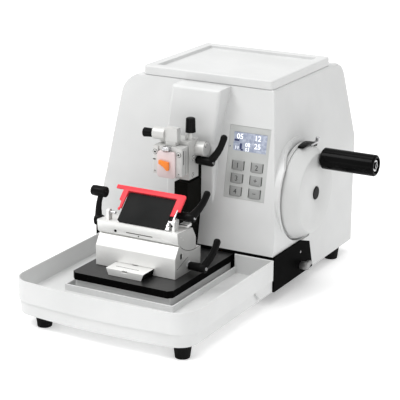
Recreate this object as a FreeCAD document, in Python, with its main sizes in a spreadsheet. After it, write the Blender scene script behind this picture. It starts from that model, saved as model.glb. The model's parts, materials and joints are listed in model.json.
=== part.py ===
# Rotary microtome for paraffin blocks: a handwheel drives a specimen head down past a fixed blade.
# Millimetres. +X is to the handwheel side, +Y to the back, +Z up.
# The origin lies on the bench under the middle of the whole instrument.

import FreeCAD, Part
import Sketcher
import math
import os
from FreeCAD import Placement, Rotation, Vector

doc = FreeCAD.newDocument("RotaryMicrotome")

# Driving sizes. Each row is one cell of the sheet. "front" is a distance ahead of the housing's lower
# front edge, "run" a distance behind it and "rise" a height above it.
SIZES = {
    # housing
    "housing_width": 297.0,
    "housing_depth": 271.0,
    "housing_rise": 228.5,
    "foot_height": 18.5,
    "skirt_height": 52.0,
    "tray_reach": 252.0,
    "front_lean_share": 0.19,
    "side_lean_share": 0.12,
    "housing_wall": 4.0,
    "cavity_side_inset": 14.5,
    "cavity_flat_rise": 95.0,
    "cavity_top_inset": 32.0,
    "rear_shoulder": 20.0,
    "front_shoulder": 3.0,
    "left_shoulder": 30.0,
    "right_shoulder": 5.0,
    "overrun": 5.0,
    "running_gap": 0.3,
    "shaft_fit": 0.05,
    # swell of the right side, behind a crease that climbs from the wheel bay
    "crease_run": 114.5,
    "crease_rise": 148.1,
    "crease_slope_share": 0.63,
    "swell_low_rise": 29.5,
    "swell_front_flare": 8.2,
    "swell_rear_flare": 19.7,
    "ring_radius": 77.5,
    "ring_proud_loss": 3.0,
    "ring_flat_rise": 119.5,
    "ring_top_loss": 16.0,
    # hump on the front that the specimen head leaves through
    "hump_face_set": 10.4,
    "hump_left_reach": 35.5,
    "hump_right_reach": 42.5,
    "hump_low_rise": 50.0,
    "hump_bend_rise": 161.5,
    "hump_top_drop": 2.0,
    "hump_shift": 9.4,
    "hump_edge_radius": 5.0,
    # lid on the roof
    "lid_width": 209.5,
    "lid_depth": 192.5,
    "lid_height": 13.0,
    "lid_rim_width": 15.0,
    "lid_recess": 5.0,
    "lid_side_set": 2.0,
    "lid_front_set": 42.5,
    "lid_corner": 6.0,
    "lid_edge_radius": 2.5,
    # chassis, plinth and feet
    "chassis_wall": 8.0,
    "chassis_floor": 6.0,
    "cheek_top_run": 89.0,
    "cheek_step_run": 116.5,
    "cheek_step_drop": 9.0,
    "cheek_foot_run": 129.0,
    "plinth_height": 18.0,
    "plinth_inset": 2.5,
    "plinth_wall": 34.0,
    "plinth_top": 4.0,
    "column_pit_floor": 2.0,
    "foot_radius": 12.5,
    "foot_tip_radius": 10.0,
    "front_foot_reach": 224.0,
    "front_foot_right": 20.8,
    "front_foot_left": 42.0,
    "rear_foot_run": 224.5,
    "rear_foot_inset": 12.7,
    # bed and black plate that carry the knife holder
    "work_axis_offset": 2.0,
    "bed_plate_width": 158.6,
    "bed_plate_front": 177.3,
    "bed_plate_thickness": 10.5,
    "bed_plate_drop": 5.0,
    "bed_plate_offset": 2.2,
    "bed_plate_chamfer": 6.0,
    "bed_inset": 4.0,
    # tray
    "tray_width": 278.7,
    "tray_rim_drop": 3.1,
    "tray_wall": 2.5,
    "tray_corner": 32.0,
    "tray_bow": 6.0,
    "tray_bed_gap": 4.0,
    "tray_lip_height": 12.0,
    "tray_rear_gap": 2.5,
    # carriage and its column
    "column_width": 21.8,
    "column_offset": 10.8,
    "column_front": 27.5,
    "column_low_rise": 14.0,
    "column_step_rise": 97.0,
    "column_top_rise": 143.5,
    "column_neck_set": 10.5,
    "column_gap": 0.8,
    "carriage_width": 91.0,
    "carriage_depth": 34.0,
    "carriage_height": 120.0,
    "carriage_run": 35.5,
    "carriage_rise": 39.5,
    "shield_width": 48.0,
    "shield_thickness": 1.5,
    "shield_height": 74.0,
    "shield_set": 14.9,
    "post_width": 18.0,
    "post_depth": 16.0,
    "post_spacing": 69.0,
    "post_run": 71.5,
    "frame_top_drop": 9.0,
    "frame_bridge": 14.0,
    "rail_width": 14.0,
    "rail_depth": 10.0,
    "rail_end_gap": 2.0,
    "yoke_thickness": 6.0,
    "yoke_length": 104.0,
    "yoke_height": 22.0,
    "yoke_slot_length": 76.0,
    "yoke_slot_height": 12.6,
    # drive shaft
    "shaft_run": 92.5,
    "shaft_rise": 73.8,
    "shaft_radius": 8.0,
    "crank_radius": 31.0,
    "crank_disc_radius": 40.0,
    "crank_disc_thickness": 8.0,
    "crank_gap": 6.2,
    "crank_pin_radius": 6.0,
    "crank_open_gap": 0.6,
    "bearing_radius": 16.0,
    "bearing_width": 11.0,
    "stand_thickness": 9.0,
    "stand_half_depth": 22.0,
    "stand_foot": 8.0,
    "inner_bearing_set": 58.5,
    "outer_bearing_set": 20.5,
    # handwheel
    "wheel_back_radius": 69.0,
    "wheel_face_radius": 58.0,
    "wheel_thickness": 23.7,
    "wheel_proud": 18.7,
    "wheel_rim_width": 7.0,
    "wheel_edge_radius": 30.0,
    "brake_disc_radius": 70.0,
    "brake_disc_thickness": 5.0,
    "bay_radius": 72.8,
    "bay_depth": 12.0,
    "shaft_hole_gap": 1.0,
    "shaft_socket": 14.0,
    "hub_cap_radius": 9.4,
    "hub_cap_seat": 2.0,
    "hub_cap_thickness": 2.8,
    "grip_radius": 15.4,
    "grip_length": 82.0,
    "grip_gap": 2.3,
    "grip_run": 16.7,
    "grip_rise": 48.2,
    "grip_pin_radius": 5.0,
    "grip_pin_socket": 8.0,
    "grip_end_recess": 5.0,
    "grip_recess_radius": 11.0,
    "grip_head_radius": 8.0,
    "grip_head_height": 3.0,
    "grip_chamfer": 2.0,
    # left wheel for coarse feed
    "coarse_radius": 31.0,
    "coarse_width": 8.0,
    "coarse_proud": 6.0,
    "coarse_run": 60.5,
    "coarse_rise": 49.9,
    "coarse_axle_radius": 5.0,
    "coarse_axle_length": 34.0,
    "coarse_edge": 2.0,
    "coarse_dish_radius": 21.0,
    "coarse_dish_depth": 2.0,
    "coarse_hole_gap": 1.0,
    "coarse_stand_set": 17.0,
    "coarse_stand_thickness": 8.0,
    "coarse_stand_half_depth": 12.0,
    # control panel, on the leaning front
    "panel_width": 64.5,
    "panel_height": 103.8,
    "panel_side_set": 25.5,
    "panel_rise": 72.5,
    "panel_recess": 2.5,
    "panel_thickness": 2.0,
    "panel_seam": 0.2,
    "panel_ledge": 3.0,
    "screen_width": 52.0,
    "screen_height": 26.7,
    "screen_top_set": 8.8,
    "screen_side_set": 7.5,
    "screen_depth": 1.2,
    "button_width": 19.2,
    "button_height": 12.2,
    "button_pitch_across": 29.9,
    "button_pitch_down": 18.5,
    "button_side_set": 18.2,
    "button_top_set": 56.1,
    "button_rise": 1.8,
    "button_flange": 0.8,
    "button_flange_thickness": 1.3,
    "button_flange_gap": 0.1,
    "button_edge": 0.6,
    "board_thickness": 1.6,
    "board_gap": 3.4,
    "board_inset": 4.0,
    "board_post_radius": 1.8,
    "board_post_inset": 5.2,
    # specimen head
    "head_half_width": 23.2,
    "head_axis_rise": 126.5,
    "head_axis_front": 4.5,
    "frame_back_set": 8.0,
    "frame_front_set": 22.5,
    "frame_above": 30.5,
    "frame_below": 24.6,
    "frame_chamfer": 3.0,
    "tongue_width": 8.0,
    "tongue_radius": 8.0,
    "tongue_side_gap": 0.4,
    "tongue_slot_front": 10.5,
    "tongue_slot_half": 19.0,
    "ram_set": 14.0,
    "pivot_pin_radius": 3.0,
    "pivot_pin_left": 12.3,
    "pivot_pin_length": 17.1,
    "ram_length": 50.0,
    "ram_bore_depth": 30.0,
    "lug_half_width": 8.0,
    "lug_reach": 11.5,
    "lug_height": 4.8,
    "lug_gap": 0.4,
    "yaw_pin_set": 5.5,
    "clamp_gap": 2.2,
    "clamp_depth": 19.3,
    "clamp_above": 25.3,
    "clamp_below": 14.6,
    "clamp_edge": 1.5,
    "cassette_width": 28.5,
    "cassette_height": 40.0,
    "cassette_thickness": 6.0,
    "cassette_seat": 2.5,
    "cassette_below": 18.6,
    "wax_width": 16.0,
    "wax_height": 14.0,
    "wax_thickness": 5.0,
    "wax_side_shift": 4.0,
    "wax_below": 8.0,
    "jaw_half_width": 12.0,
    "jaw_reach": 13.0,
    "jaw_thickness": 3.0,
    "jaw_lip": 2.2,
    "jaw_drop": 10.0,
    "motor_half_side": 21.0,
    "motor_length": 36.0,
    "motor_corner": 4.0,
    "lead_screw_radius": 3.0,
    "lead_screw_length": 36.0,
    # knobs and levers of the head
    "knob_radius": 7.7,
    "knob_length": 20.0,
    "knob_edge": 1.5,
    "knob_stem_radius": 3.0,
    "knob_stem_length": 14.5,
    "knob_stem_socket": 8.0,
    "pitch_knob_side": 17.5,
    "pitch_knob_front": 8.0,
    "yaw_block_left": 10.5,
    "yaw_block_right": 9.2,
    "yaw_block_front": 9.5,
    "yaw_block_depth": 10.0,
    "yaw_block_height": 19.5,
    "yaw_axis_set": 4.5,
    "yaw_axis_rise": 9.0,
    "collar_radius": 9.0,
    "collar_length": 19.3,
    "yaw_knob_radius": 6.5,
    "yaw_knob_length": 15.0,
    "disc_radius": 10.4,
    "disc_length": 15.0,
    "disc_back": 1.4,
    "disc_rise": 17.0,
    "lever_hub_radius": 6.3,
    "lever_hub_length": 26.5,
    "lever_gap": 0.4,
    "lever_arm_radius": 4.6,
    "lever_tip_radius": 5.2,
    "lever_stud_radius": 3.0,
    "lever_stud_length": 7.0,
    "head_lever_out": 12.8,
    "head_lever_back": 6.6,
    "head_lever_up": 35.7,
    # knife holder
    "holder_left": 63.5,
    "holder_right": 63.5,
    "holder_front": 135.2,
    "holder_back": 64.5,
    "holder_front_rise": 24.2,
    "holder_lip_rise": 39.0,
    "holder_lip_front": 125.8,
    "holder_chamfer": 1.5,
    "arc_centre_front": 77.0,
    "arc_centre_rise": 93.6,
    "arc_radius": 70.7,
    "dovetail_half_width": 30.0,
    "dovetail_foot_half": 26.0,
    "dovetail_front": 162.5,
    "dovetail_back": 29.5,
    "dovetail_height": 10.0,
    "dovetail_groove_half": 4.0,
    "dovetail_groove_depth": 3.0,
    "side_hole_radius": 3.0,
    "side_hole_front": 117.1,
    "side_hole_rise": 24.3,
    "side_hole_depth": 10.0,
    "segment_left": 65.5,
    "segment_right": 62.5,
    "segment_front": 125.8,
    "segment_lip_front": 127.4,
    "segment_lip_rise": 59.0,
    "segment_back_front": 76.5,
    "segment_back_rise": 40.5,
    "segment_top_front": 86.0,
    "segment_top_rise": 55.5,
    "wedge_half_width": 38.2,
    "wedge_shift": 2.7,
    "wedge_foot_front": 122.5,
    "wedge_foot_rise": 58.5,
    "wedge_top_front": 90.5,
    "wedge_top_rise": 89.5,
    "wedge_back_front": 84.5,
    "plate_thickness": 2.6,
    "plate_length": 46.0,
    "plate_top_reach": 2.0,
    "blade_half_length": 40.0,
    "blade_depth": 10.0,
    "blade_thickness": 0.6,
    "blade_bevel": 1.0,
    "blade_proud": 4.8,
    # guard over the blade's edge
    "guard_left_reach": 49.0,
    "guard_right_reach": 50.8,
    "guard_left_leg": 8.5,
    "guard_right_leg": 7.0,
    "guard_half_thickness": 1.8,
    "guard_boss_radius": 4.0,
    "guard_pivot_front": 118.5,
    "guard_pivot_rise": 69.5,
    "guard_bar_front": 79.0,
    "guard_bar_depth": 4.0,
    "guard_bar_low_rise": 91.5,
    "guard_bar_top_rise": 97.5,
    "guard_tab": 9.0,
    "guard_tab_length": 7.0,
    "guard_pin_radius": 2.0,
    "ear_thickness": 4.0,
    "ear_half_depth": 4.5,
    "ear_sink": 9.0,
    # levers of the knife holder
    "blade_lever_front": 93.6,
    "blade_lever_rise": 72.8,
    "blade_lever_set": 7.8,
    "blade_lever_out": 11.0,
    "blade_lever_back": 13.5,
    "blade_lever_up": 32.2,
    "base_lever_front": 96.7,
    "base_lever_rise": 4.2,
    "base_lever_back": 18.7,
    "base_lever_up": 34.3,
    "base_lever_out": 6.2,
    "side_lever_front": 109.2,
    "side_lever_rise": 52.0,
    "side_lever_hub_length": 22.0,
    "side_lever_hub_radius": 6.0,
    "side_lever_back": 5.2,
    "side_lever_up": 39.5,
    "side_lever_arm_radius": 3.6,
    "side_grip_radius": 7.7,
    "side_grip_length": 19.7,
    # lock on the black cheek
    "lock_run": 88.5,
    "lock_drop": 41.0,
    "lock_radius": 6.2,
    "lock_length": 8.0,
    "lock_wing_run": 15.0,
    "lock_wing_rise": 7.0,
    "lock_wing_half_width": 3.6,
    "lock_wing_thickness": 4.0,
    "lock_stud_radius": 3.0,
    "lock_stud_length": 6.0,
    # rear connections
    "rear_plate_width": 90.0,
    "rear_plate_height": 46.0,
    "rear_plate_rise": 12.0,
    "rear_plate_side": 15.0,
    "rear_plate_thickness": 2.0,
    "rear_plate_lap": 4.0,
    "inlet_width": 27.0,
    "inlet_height": 20.0,
    "inlet_depth": 22.0,
    "inlet_proud": 2.5,
    "inlet_wall": 2.0,
    "inlet_floor": 5.0,
    "inlet_side": 12.0,
    "contact_width": 2.0,
    "contact_height": 4.0,
    "contact_spread": 7.0,
    "contact_short": 4.0,
    "rocker_width": 12.0,
    "rocker_height": 20.0,
    "rocker_depth": 8.0,
    "rocker_slant": 2.0,
    "rocker_gap": 0.8,
    "rocker_side": 62.0,
    "rocker_frame": 2.5,
    "rocker_box_depth": 16.0,
}

sheet = doc.addObject("Spreadsheet::Sheet", "Sizes")
for row, (alias, amount) in enumerate(SIZES.items(), start=1):
    sheet.set(f"A{row}", alias)
    sheet.set(f"B{row}", str(amount))
    sheet.setAlias(f"B{row}", alias)
doc.recompute()


class Size:
    """A length, angle or share that remembers the formula it came from."""

    def __init__(self, value, text):
        self.value = value
        self.text = text

    def __add__(self, other):
        other = as_size(other)
        return Size(self.value + other.value, f"({self.text} + {other.text})")

    def __sub__(self, other):
        other = as_size(other)
        return Size(self.value - other.value, f"({self.text} - {other.text})")

    def __mul__(self, other):
        other = as_size(other)
        return Size(self.value * other.value, f"({self.text} * {other.text})")

    def __truediv__(self, other):
        other = as_size(other)
        return Size(self.value / other.value, f"({self.text} / {other.text})")

    def __neg__(self):
        return Size(-self.value, f"(0 - {self.text})")

    def __rsub__(self, other):
        return as_size(other) - self

    __radd__ = __add__
    __rmul__ = __mul__


def as_size(number):
    """A plain count or zero, as a Size."""
    return number if isinstance(number, Size) else Size(float(number), repr(number))


def root(size):
    return Size(math.sqrt(size.value), f"sqrt({size.text})")


class Named:
    """Gives each cell of the sheet by its alias."""

    def __getattr__(self, alias):
        return Size(SIZES[alias], f"Sizes.{alias}")


S = Named()
ZERO = as_size(0)

# The body's own plane that a sketch lies on: seen from the side, the front or the top.
PLANES = {"side": "YZ_Plane", "front": "XZ_Plane", "top": "XY_Plane"}


def bind(thing, prop, size):
    thing.setExpression(prop, as_size(size).text)


def new_body(name):
    body = doc.addObject("PartDesign::Body", name)
    body.Label = name
    body.AllowCompound = True
    return body


def new_sketch(body, plane, at):
    """A sketch on one of the body's own planes, moved to x, y or z = at."""
    base = [f for f in body.Origin.OriginFeatures if f.Role == PLANES[plane]][0]
    sketch = body.newObject("Sketcher::SketchObject", f"{body.Name}_sketch")
    sketch.AttachmentSupport = [(base, "")]
    sketch.MapMode = "FlatFace"
    bind(sketch, "AttachmentOffset.Base.z", -as_size(at) if plane == "front" else as_size(at))
    return sketch


def arc_to(end, radius, left=True):
    """The end of an arc in an outline; left says on which side of the way the arc bulges."""
    return (end[0], end[1], radius, left)


def curve_between(start, end, radius, left):
    a = Vector(start[0].value, start[1].value, 0)
    b = Vector(end[0].value, end[1].value, 0)
    along = b - a
    normal = Vector(-along.y, along.x, 0).normalize()
    half = along.Length / 2
    rise = radius.value - math.sqrt(max(radius.value**2 - half**2, 0))
    return Part.Arc(a, (a + b) / 2 + normal * (rise if left else -rise), b)


def limit_point(sketch, edge, which, point):
    """Fixes one point of a sketch to its sizes."""
    for kind, size in (("DistanceX", point[0]), ("DistanceY", point[1])):
        limit = sketch.addConstraint(Sketcher.Constraint(kind, -1, 1, edge, which, size.value))
        bind(sketch, f"Constraints[{limit}]", size)


def draw_outline(sketch, points):
    """A closed outline through points in sizes; a point from arc_to is reached by an arc."""
    points = [(as_size(p[0]), as_size(p[1])) + tuple(p[2:]) for p in points]
    edges = []
    for start, end in zip(points, points[1:] + points[:1]):
        if len(end) == 2:
            line = Part.LineSegment(
                Vector(start[0].value, start[1].value, 0), Vector(end[0].value, end[1].value, 0)
            )
            edges.append((sketch.addGeometry(line, False), 1, 2))
            continue
        edge = sketch.addGeometry(curve_between(start, end, as_size(end[2]), end[3]), False)
        first = sketch.getPoint(edge, 1)
        to_start = abs(first.x - start[0].value) + abs(first.y - start[1].value)
        to_end = abs(first.x - end[0].value) + abs(first.y - end[1].value)
        edges.append((edge, 1, 2) if to_start < to_end else (edge, 2, 1))
        limit = sketch.addConstraint(Sketcher.Constraint("Radius", edge, as_size(end[2]).value))
        bind(sketch, f"Constraints[{limit}]", end[2])
    for (edge, _, last), (after, first, _) in zip(edges, edges[1:] + edges[:1]):
        sketch.addConstraint(Sketcher.Constraint("Coincident", edge, last, after, first))
    for (edge, first, _), point in zip(edges, points):
        limit_point(sketch, edge, first, point)


def draw_circle(sketch, x, y, radius):
    x, y, radius = as_size(x), as_size(y), as_size(radius)
    circle = Part.Circle(Vector(x.value, y.value, 0), Vector(0, 0, 1), radius.value)
    edge = sketch.addGeometry(circle, False)
    limit = sketch.addConstraint(Sketcher.Constraint("Radius", edge, radius.value))
    bind(sketch, f"Constraints[{limit}]", radius)
    limit_point(sketch, edge, 3, (x, y))


def rectangle(x0, y0, x1, y1):
    return [(x0, y0), (x1, y0), (x1, y1), (x0, y1)]


def extrude(body, plane, at, length, outlines=(), circles=(), cut=False):
    """Adds or cuts a prism that runs from at along +X, +Y or +Z by length."""
    sketch = new_sketch(body, plane, at)
    for points in outlines:
        draw_outline(sketch, points)
    for circle in circles:
        draw_circle(sketch, *circle)
    before = body.Shape.Volume if cut else 0
    feature = body.newObject("PartDesign::Pocket" if cut else "PartDesign::Pad", f"{body.Name}_step")
    feature.Profile = sketch
    bind(feature, "Length", length)
    feature.Reversed = (plane == "front") != cut
    doc.recompute()
    if cut and not body.Shape.Volume < before:
        raise RuntimeError(f"a cut in {body.Label} takes nothing away")
    return feature


def round_edges(body, radius, wanted, kind="PartDesign::Fillet"):
    """Rounds or bevels the edges that the test wants, given an edge's middle and its way."""
    base = body.Tip
    names = []
    for i, edge in enumerate(base.Shape.Edges, start=1):
        middle = edge.valueAt((edge.FirstParameter + edge.LastParameter) / 2)
        way = edge.valueAt(edge.LastParameter) - edge.valueAt(edge.FirstParameter)
        if wanted(middle, way):
            names.append(f"Edge{i}")
    if not names:
        raise RuntimeError(f"no edge to round on {body.Label}")
    feature = body.newObject(kind, f"{body.Name}_edge")
    feature.Base = (base, names)
    bind(feature, "Radius" if kind.endswith("Fillet") else "Size", radius)
    doc.recompute()
    return feature


# How a piece drawn along its own Z axis is turned to lie along another axis.
TURNS = {
    "+X": Rotation(Vector(0, 1, 0), 90),
    "-X": Rotation(Vector(0, 1, 0), -90),
    "+Y": Rotation(Vector(1, 0, 0), -90),
    "-Y": Rotation(Vector(1, 0, 0), 90),
    "+Z": Rotation(),
}


def place(thing, x, y, z, way="+Z"):
    """Sets a piece down at a point, with its own Z axis along way."""
    turn = TURNS[way] if isinstance(way, str) else way
    spot = [as_size(x), as_size(y), as_size(z)]
    thing.Placement = Placement(Vector(*[s.value for s in spot]), turn)
    for axis, size in zip("xyz", spot):
        bind(thing, f"Placement.Base.{axis}", size)
    return thing


def turned(name, profile, x, y, z, way="+Z"):
    """A turned piece: its outline of (radius, height) spun about its axis."""
    body = new_body(name)
    sketch = new_sketch(body, "front", ZERO)
    draw_outline(sketch, profile)
    feature = body.newObject("PartDesign::Revolution", f"{name}_spin")
    feature.Profile = sketch
    feature.ReferenceAxis = (sketch, ["V_Axis"])
    place(body, x, y, z, way)
    doc.recompute()
    return body


def rod(name, radius, length, x, y, z, way="+Z"):
    """A plain round bar."""
    bar = doc.addObject("Part::Cylinder", name)
    bar.Label = name
    bind(bar, "Radius", radius)
    bind(bar, "Height", length)
    return place(bar, x, y, z, way)


def block(name, x0, y0, z0, x1, y1, z1):
    """A plain block between two corners."""
    solid = doc.addObject("Part::Box", name)
    solid.Label = name
    bind(solid, "Length", as_size(x1) - x0)
    bind(solid, "Width", as_size(y1) - y0)
    bind(solid, "Height", as_size(z1) - z0)
    return place(solid, x0, y0, z0)


def join(name, parts):
    fusion = doc.addObject("Part::MultiFuse", name)
    fusion.Label = name
    fusion.Shapes = parts
    return fusion


def group(name, parts):
    """Several like pieces in one node, each its own solid."""
    pieces = doc.addObject("Part::Compound", name)
    pieces.Label = name
    pieces.Links = parts
    return pieces


def cut_from(name, base, tools):
    cut = doc.addObject("Part::Cut", name)
    cut.Label = name
    cut.Base = base
    cut.Tool = tools[0] if len(tools) == 1 else join(f"{name}_tools", tools)
    return cut


nodes = []


def keep(thing):
    """Lists a finished piece for export."""
    nodes.append(thing)
    return thing


# Main places, worked out from the sizes.
right_reach = S.wheel_proud + S.grip_gap + S.grip_length
housing_x = (right_reach - S.coarse_proud) * -0.5
right_x = housing_x + S.housing_width / 2
left_x = housing_x - S.housing_width / 2
front_y = (S.tray_reach - S.housing_depth) / 2
back_y = front_y + S.housing_depth
base_z = S.foot_height
edge_z = base_z + S.skirt_height
roof_z = edge_z + S.housing_rise
floor_z = base_z + S.chassis_floor
work_x = housing_x + S.work_axis_offset
column_x = work_x + S.column_offset
hump_y = front_y + S.hump_face_set
shaft_y = front_y + S.shaft_run
shaft_z = edge_z + S.shaft_rise
head_y = front_y - S.head_axis_front
head_z = edge_z + S.head_axis_rise


def front_at(z):
    """Y of the leaning front face at a height."""
    return front_y + (z - edge_z) * S.front_lean_share


def right_at(z):
    """X of the leaning right side at a height."""
    return right_x - (z - edge_z) * S.side_lean_share


def left_at(z):
    return left_x + (z - edge_z) * S.side_lean_share


# Housing: a moulded shell with a leaning front, leaning sides and a bay for the handwheel.
outer = new_body("housing_outer")
shoulder_z = roof_z - S.front_shoulder
extrude(
    outer,
    "side",
    left_x,
    S.housing_width,
    [
        [
            (front_y + S.cheek_foot_run, base_z),
            (back_y, base_z),
            (back_y, roof_z - S.rear_shoulder),
            arc_to((back_y - S.rear_shoulder, roof_z), S.rear_shoulder, False),
            (front_at(shoulder_z) + S.front_shoulder, roof_z),
            arc_to((front_at(shoulder_z), shoulder_z), S.front_shoulder * 1.2, False),
            (front_y, edge_z),
            (front_y + S.cheek_top_run, edge_z),
            (front_y + S.cheek_step_run, edge_z - S.cheek_step_drop),
        ]
    ],
)
whole_depth = S.housing_depth + S.overrun * 2
left_bend_z = roof_z - S.left_shoulder
roof_left_x = left_at(roof_z) + S.left_shoulder
right_bend_z = roof_z - S.right_shoulder
for outline in (
    # The left side leans in, then rolls over in a wide shoulder.
    [
        (left_x, edge_z),
        (left_at(left_bend_z), left_bend_z),
        arc_to((roof_left_x, roof_z), S.left_shoulder * 1.15, True),
        (roof_left_x, roof_z + S.overrun),
        (left_x - S.overrun, roof_z + S.overrun),
        (left_x - S.overrun, edge_z),
    ],
    # The right side meets the roof in a small shoulder.
    [
        (right_x + S.overrun, right_bend_z),
        (right_x + S.overrun, roof_z + S.overrun),
        (right_at(roof_z) - S.right_shoulder, roof_z + S.overrun),
        (right_at(roof_z) - S.right_shoulder, roof_z),
        arc_to((right_at(right_bend_z), right_bend_z), S.right_shoulder * 1.1, True),
    ],
):
    extrude(outer, "front", front_y - S.overrun, whole_depth, [outline], cut=True)

# Ahead of the wheel bay and the crease above it, the right side leans in.
crease_y = front_y + S.crease_run
crease_z = edge_z + S.crease_rise
crease_top_z = roof_z + S.overrun
crease_top_y = crease_y + (crease_top_z - crease_z) / S.crease_slope_share
ring_low_y = shaft_y - root(S.ring_radius * S.ring_radius - S.shaft_rise * S.shaft_rise)
side_tool = new_body("side_lean_tool")
extrude(
    side_tool,
    "side",
    ZERO,
    right_x + S.overrun,
    [
        [
            (front_y - S.overrun, edge_z),
            (ring_low_y, edge_z),
            arc_to((shaft_y - S.ring_radius, shaft_z), S.ring_radius, True),
            arc_to((crease_y, crease_z), S.ring_radius, True),
            (crease_top_y, crease_top_z),
            (front_y - S.overrun, crease_top_z),
        ]
    ],
)
lean_top_z = crease_top_z + S.overrun
extrude(
    side_tool,
    "front",
    front_y - S.housing_depth,
    S.housing_depth * 3,
    [
        [
            (-S.overrun, edge_z - S.overrun),
            (right_x, edge_z - S.overrun),
            (right_x, edge_z),
            (right_at(lean_top_z), lean_top_z),
            (-S.overrun, lean_top_z),
        ]
    ],
    cut=True,
)
# Behind the crease the side swells out to its upright lower part.
swell_tool = new_body("side_swell_tool")
swell_low_z = edge_z + S.swell_low_rise
swell_out_x = right_x + S.swell_rear_flare * 2
swell_back_y = back_y + S.overrun
swell_back_z = crease_z + (swell_back_y - crease_y) * S.crease_slope_share
sections = []
for y, z, flare in (
    (crease_y, crease_z, S.swell_front_flare),
    (swell_back_y, swell_back_z, S.swell_rear_flare),
):
    sections.append(new_sketch(swell_tool, "front", y))
    draw_outline(
        sections[-1],
        [(right_x + flare, swell_low_z), (swell_out_x, swell_low_z), (swell_out_x, z), (right_at(z), z)],
    )
loft = swell_tool.newObject("PartDesign::AdditiveLoft", "side_swell_loft")
loft.Profile = sections[0]
loft.Sections = sections[1:]
loft.Ruled = True
doc.recompute()
# The ring round the bay fades into the side at its top.
ring_tool = new_body("ring_top_tool")
extrude(
    ring_tool,
    "front",
    front_y - S.overrun,
    S.crease_run + S.overrun,
    [
        [
            (right_x - S.ring_proud_loss, edge_z),
            (right_x + S.overrun, edge_z),
            (right_x + S.overrun, crease_top_z),
            (right_x - S.ring_top_loss, crease_top_z),
            (right_x - S.ring_top_loss, shaft_z + S.ring_radius),
            (right_x - S.ring_proud_loss, edge_z + S.ring_flat_rise),
        ]
    ],
)

# Hump over the specimen head's slot, upright where the front leans.
hump = new_body("hump")
hump_left = work_x - S.hump_left_reach
hump_right = work_x + S.hump_right_reach
hump_low_z = edge_z + S.hump_low_rise
hump_bend_z = edge_z + S.hump_bend_rise
hump_back_y = front_at(roof_z) + S.housing_wall


def hump_outline(inset):
    top = roof_z - S.hump_top_drop - inset
    return [
        (hump_left + inset, hump_low_z),
        (hump_right - inset, hump_low_z),
        (hump_right - inset, hump_bend_z),
        (hump_right + S.hump_shift - inset, top),
        (hump_left + S.hump_shift + inset, top),
        (hump_left + inset, hump_bend_z),
    ]


extrude(hump, "front", hump_y, hump_back_y - hump_y, [hump_outline(ZERO)])
round_edges(
    hump,
    S.hump_edge_radius,
    lambda m, w: abs(m.y - hump_y.value) < 0.01 and m.z > hump_low_z.value + 1,
)
hump_hollow = new_body("hump_hollow")
extrude(
    hump_hollow,
    "front",
    hump_y + S.housing_wall,
    hump_back_y - hump_y + S.housing_wall,
    [hump_outline(S.housing_wall)],
)

# The hollow inside the shell.
cavity = new_body("housing_hollow")
inner_roof_z = roof_z - S.housing_wall
low_z = base_z - S.overrun
extrude(
    cavity,
    "side",
    left_x,
    S.housing_width,
    [
        [
            (front_y + S.housing_wall, low_z),
            (back_y - S.housing_wall, low_z),
            (back_y - S.housing_wall, roof_z - S.rear_shoulder),
            arc_to((back_y - S.rear_shoulder, inner_roof_z), S.rear_shoulder - S.housing_wall, False),
            (front_at(inner_roof_z) + S.housing_wall, inner_roof_z),
            (front_y + S.housing_wall, edge_z),
        ]
    ],
)
for outline in (
    [
        (left_x - S.overrun, low_z - S.overrun),
        (left_x + S.housing_wall, low_z - S.overrun),
        (left_x + S.housing_wall, edge_z),
        (left_at(left_bend_z) + S.housing_wall, left_bend_z),
        (roof_left_x + S.housing_wall, roof_z),
        (left_x - S.overrun, roof_z),
    ],
    [
        (right_x + S.overrun, low_z - S.overrun),
        (right_x + S.overrun, roof_z),
        (right_x - S.cavity_top_inset, roof_z),
        (right_x - S.cavity_side_inset, edge_z + S.cavity_flat_rise),
        (right_x - S.cavity_side_inset, low_z - S.overrun),
    ],
):
    extrude(cavity, "front", front_y - S.overrun, whole_depth, [outline], cut=True)

# The panel's own frame: across, up along the leaning face, and out of it.
face_length = root(S.front_lean_share * S.front_lean_share + 1)
face_up = S.front_lean_share / face_length
face_out = as_size(1) / face_length
face_turn = Rotation(Vector(1, 0, 0), 90 - math.degrees(math.atan(S.front_lean_share.value)))
panel_x = right_x - S.panel_side_set - S.panel_width
panel_z = edge_z + S.panel_rise
panel_y = front_at(panel_z)


def on_face(across, up, out):
    """A point in the panel's frame, as X, Y and Z."""
    return (
        panel_x + across,
        panel_y + up * face_up - out * face_out,
        panel_z + up * face_out + out * face_up,
    )


def face_block(name, a0, u0, w0, a1, u1, w1):
    """A block between two corners in the panel's frame."""
    solid = block(name, a0, u0, w0, a1, u1, w1)
    return place(solid, *on_face(as_size(a0), as_size(u0), as_size(w0)), face_turn)


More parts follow.
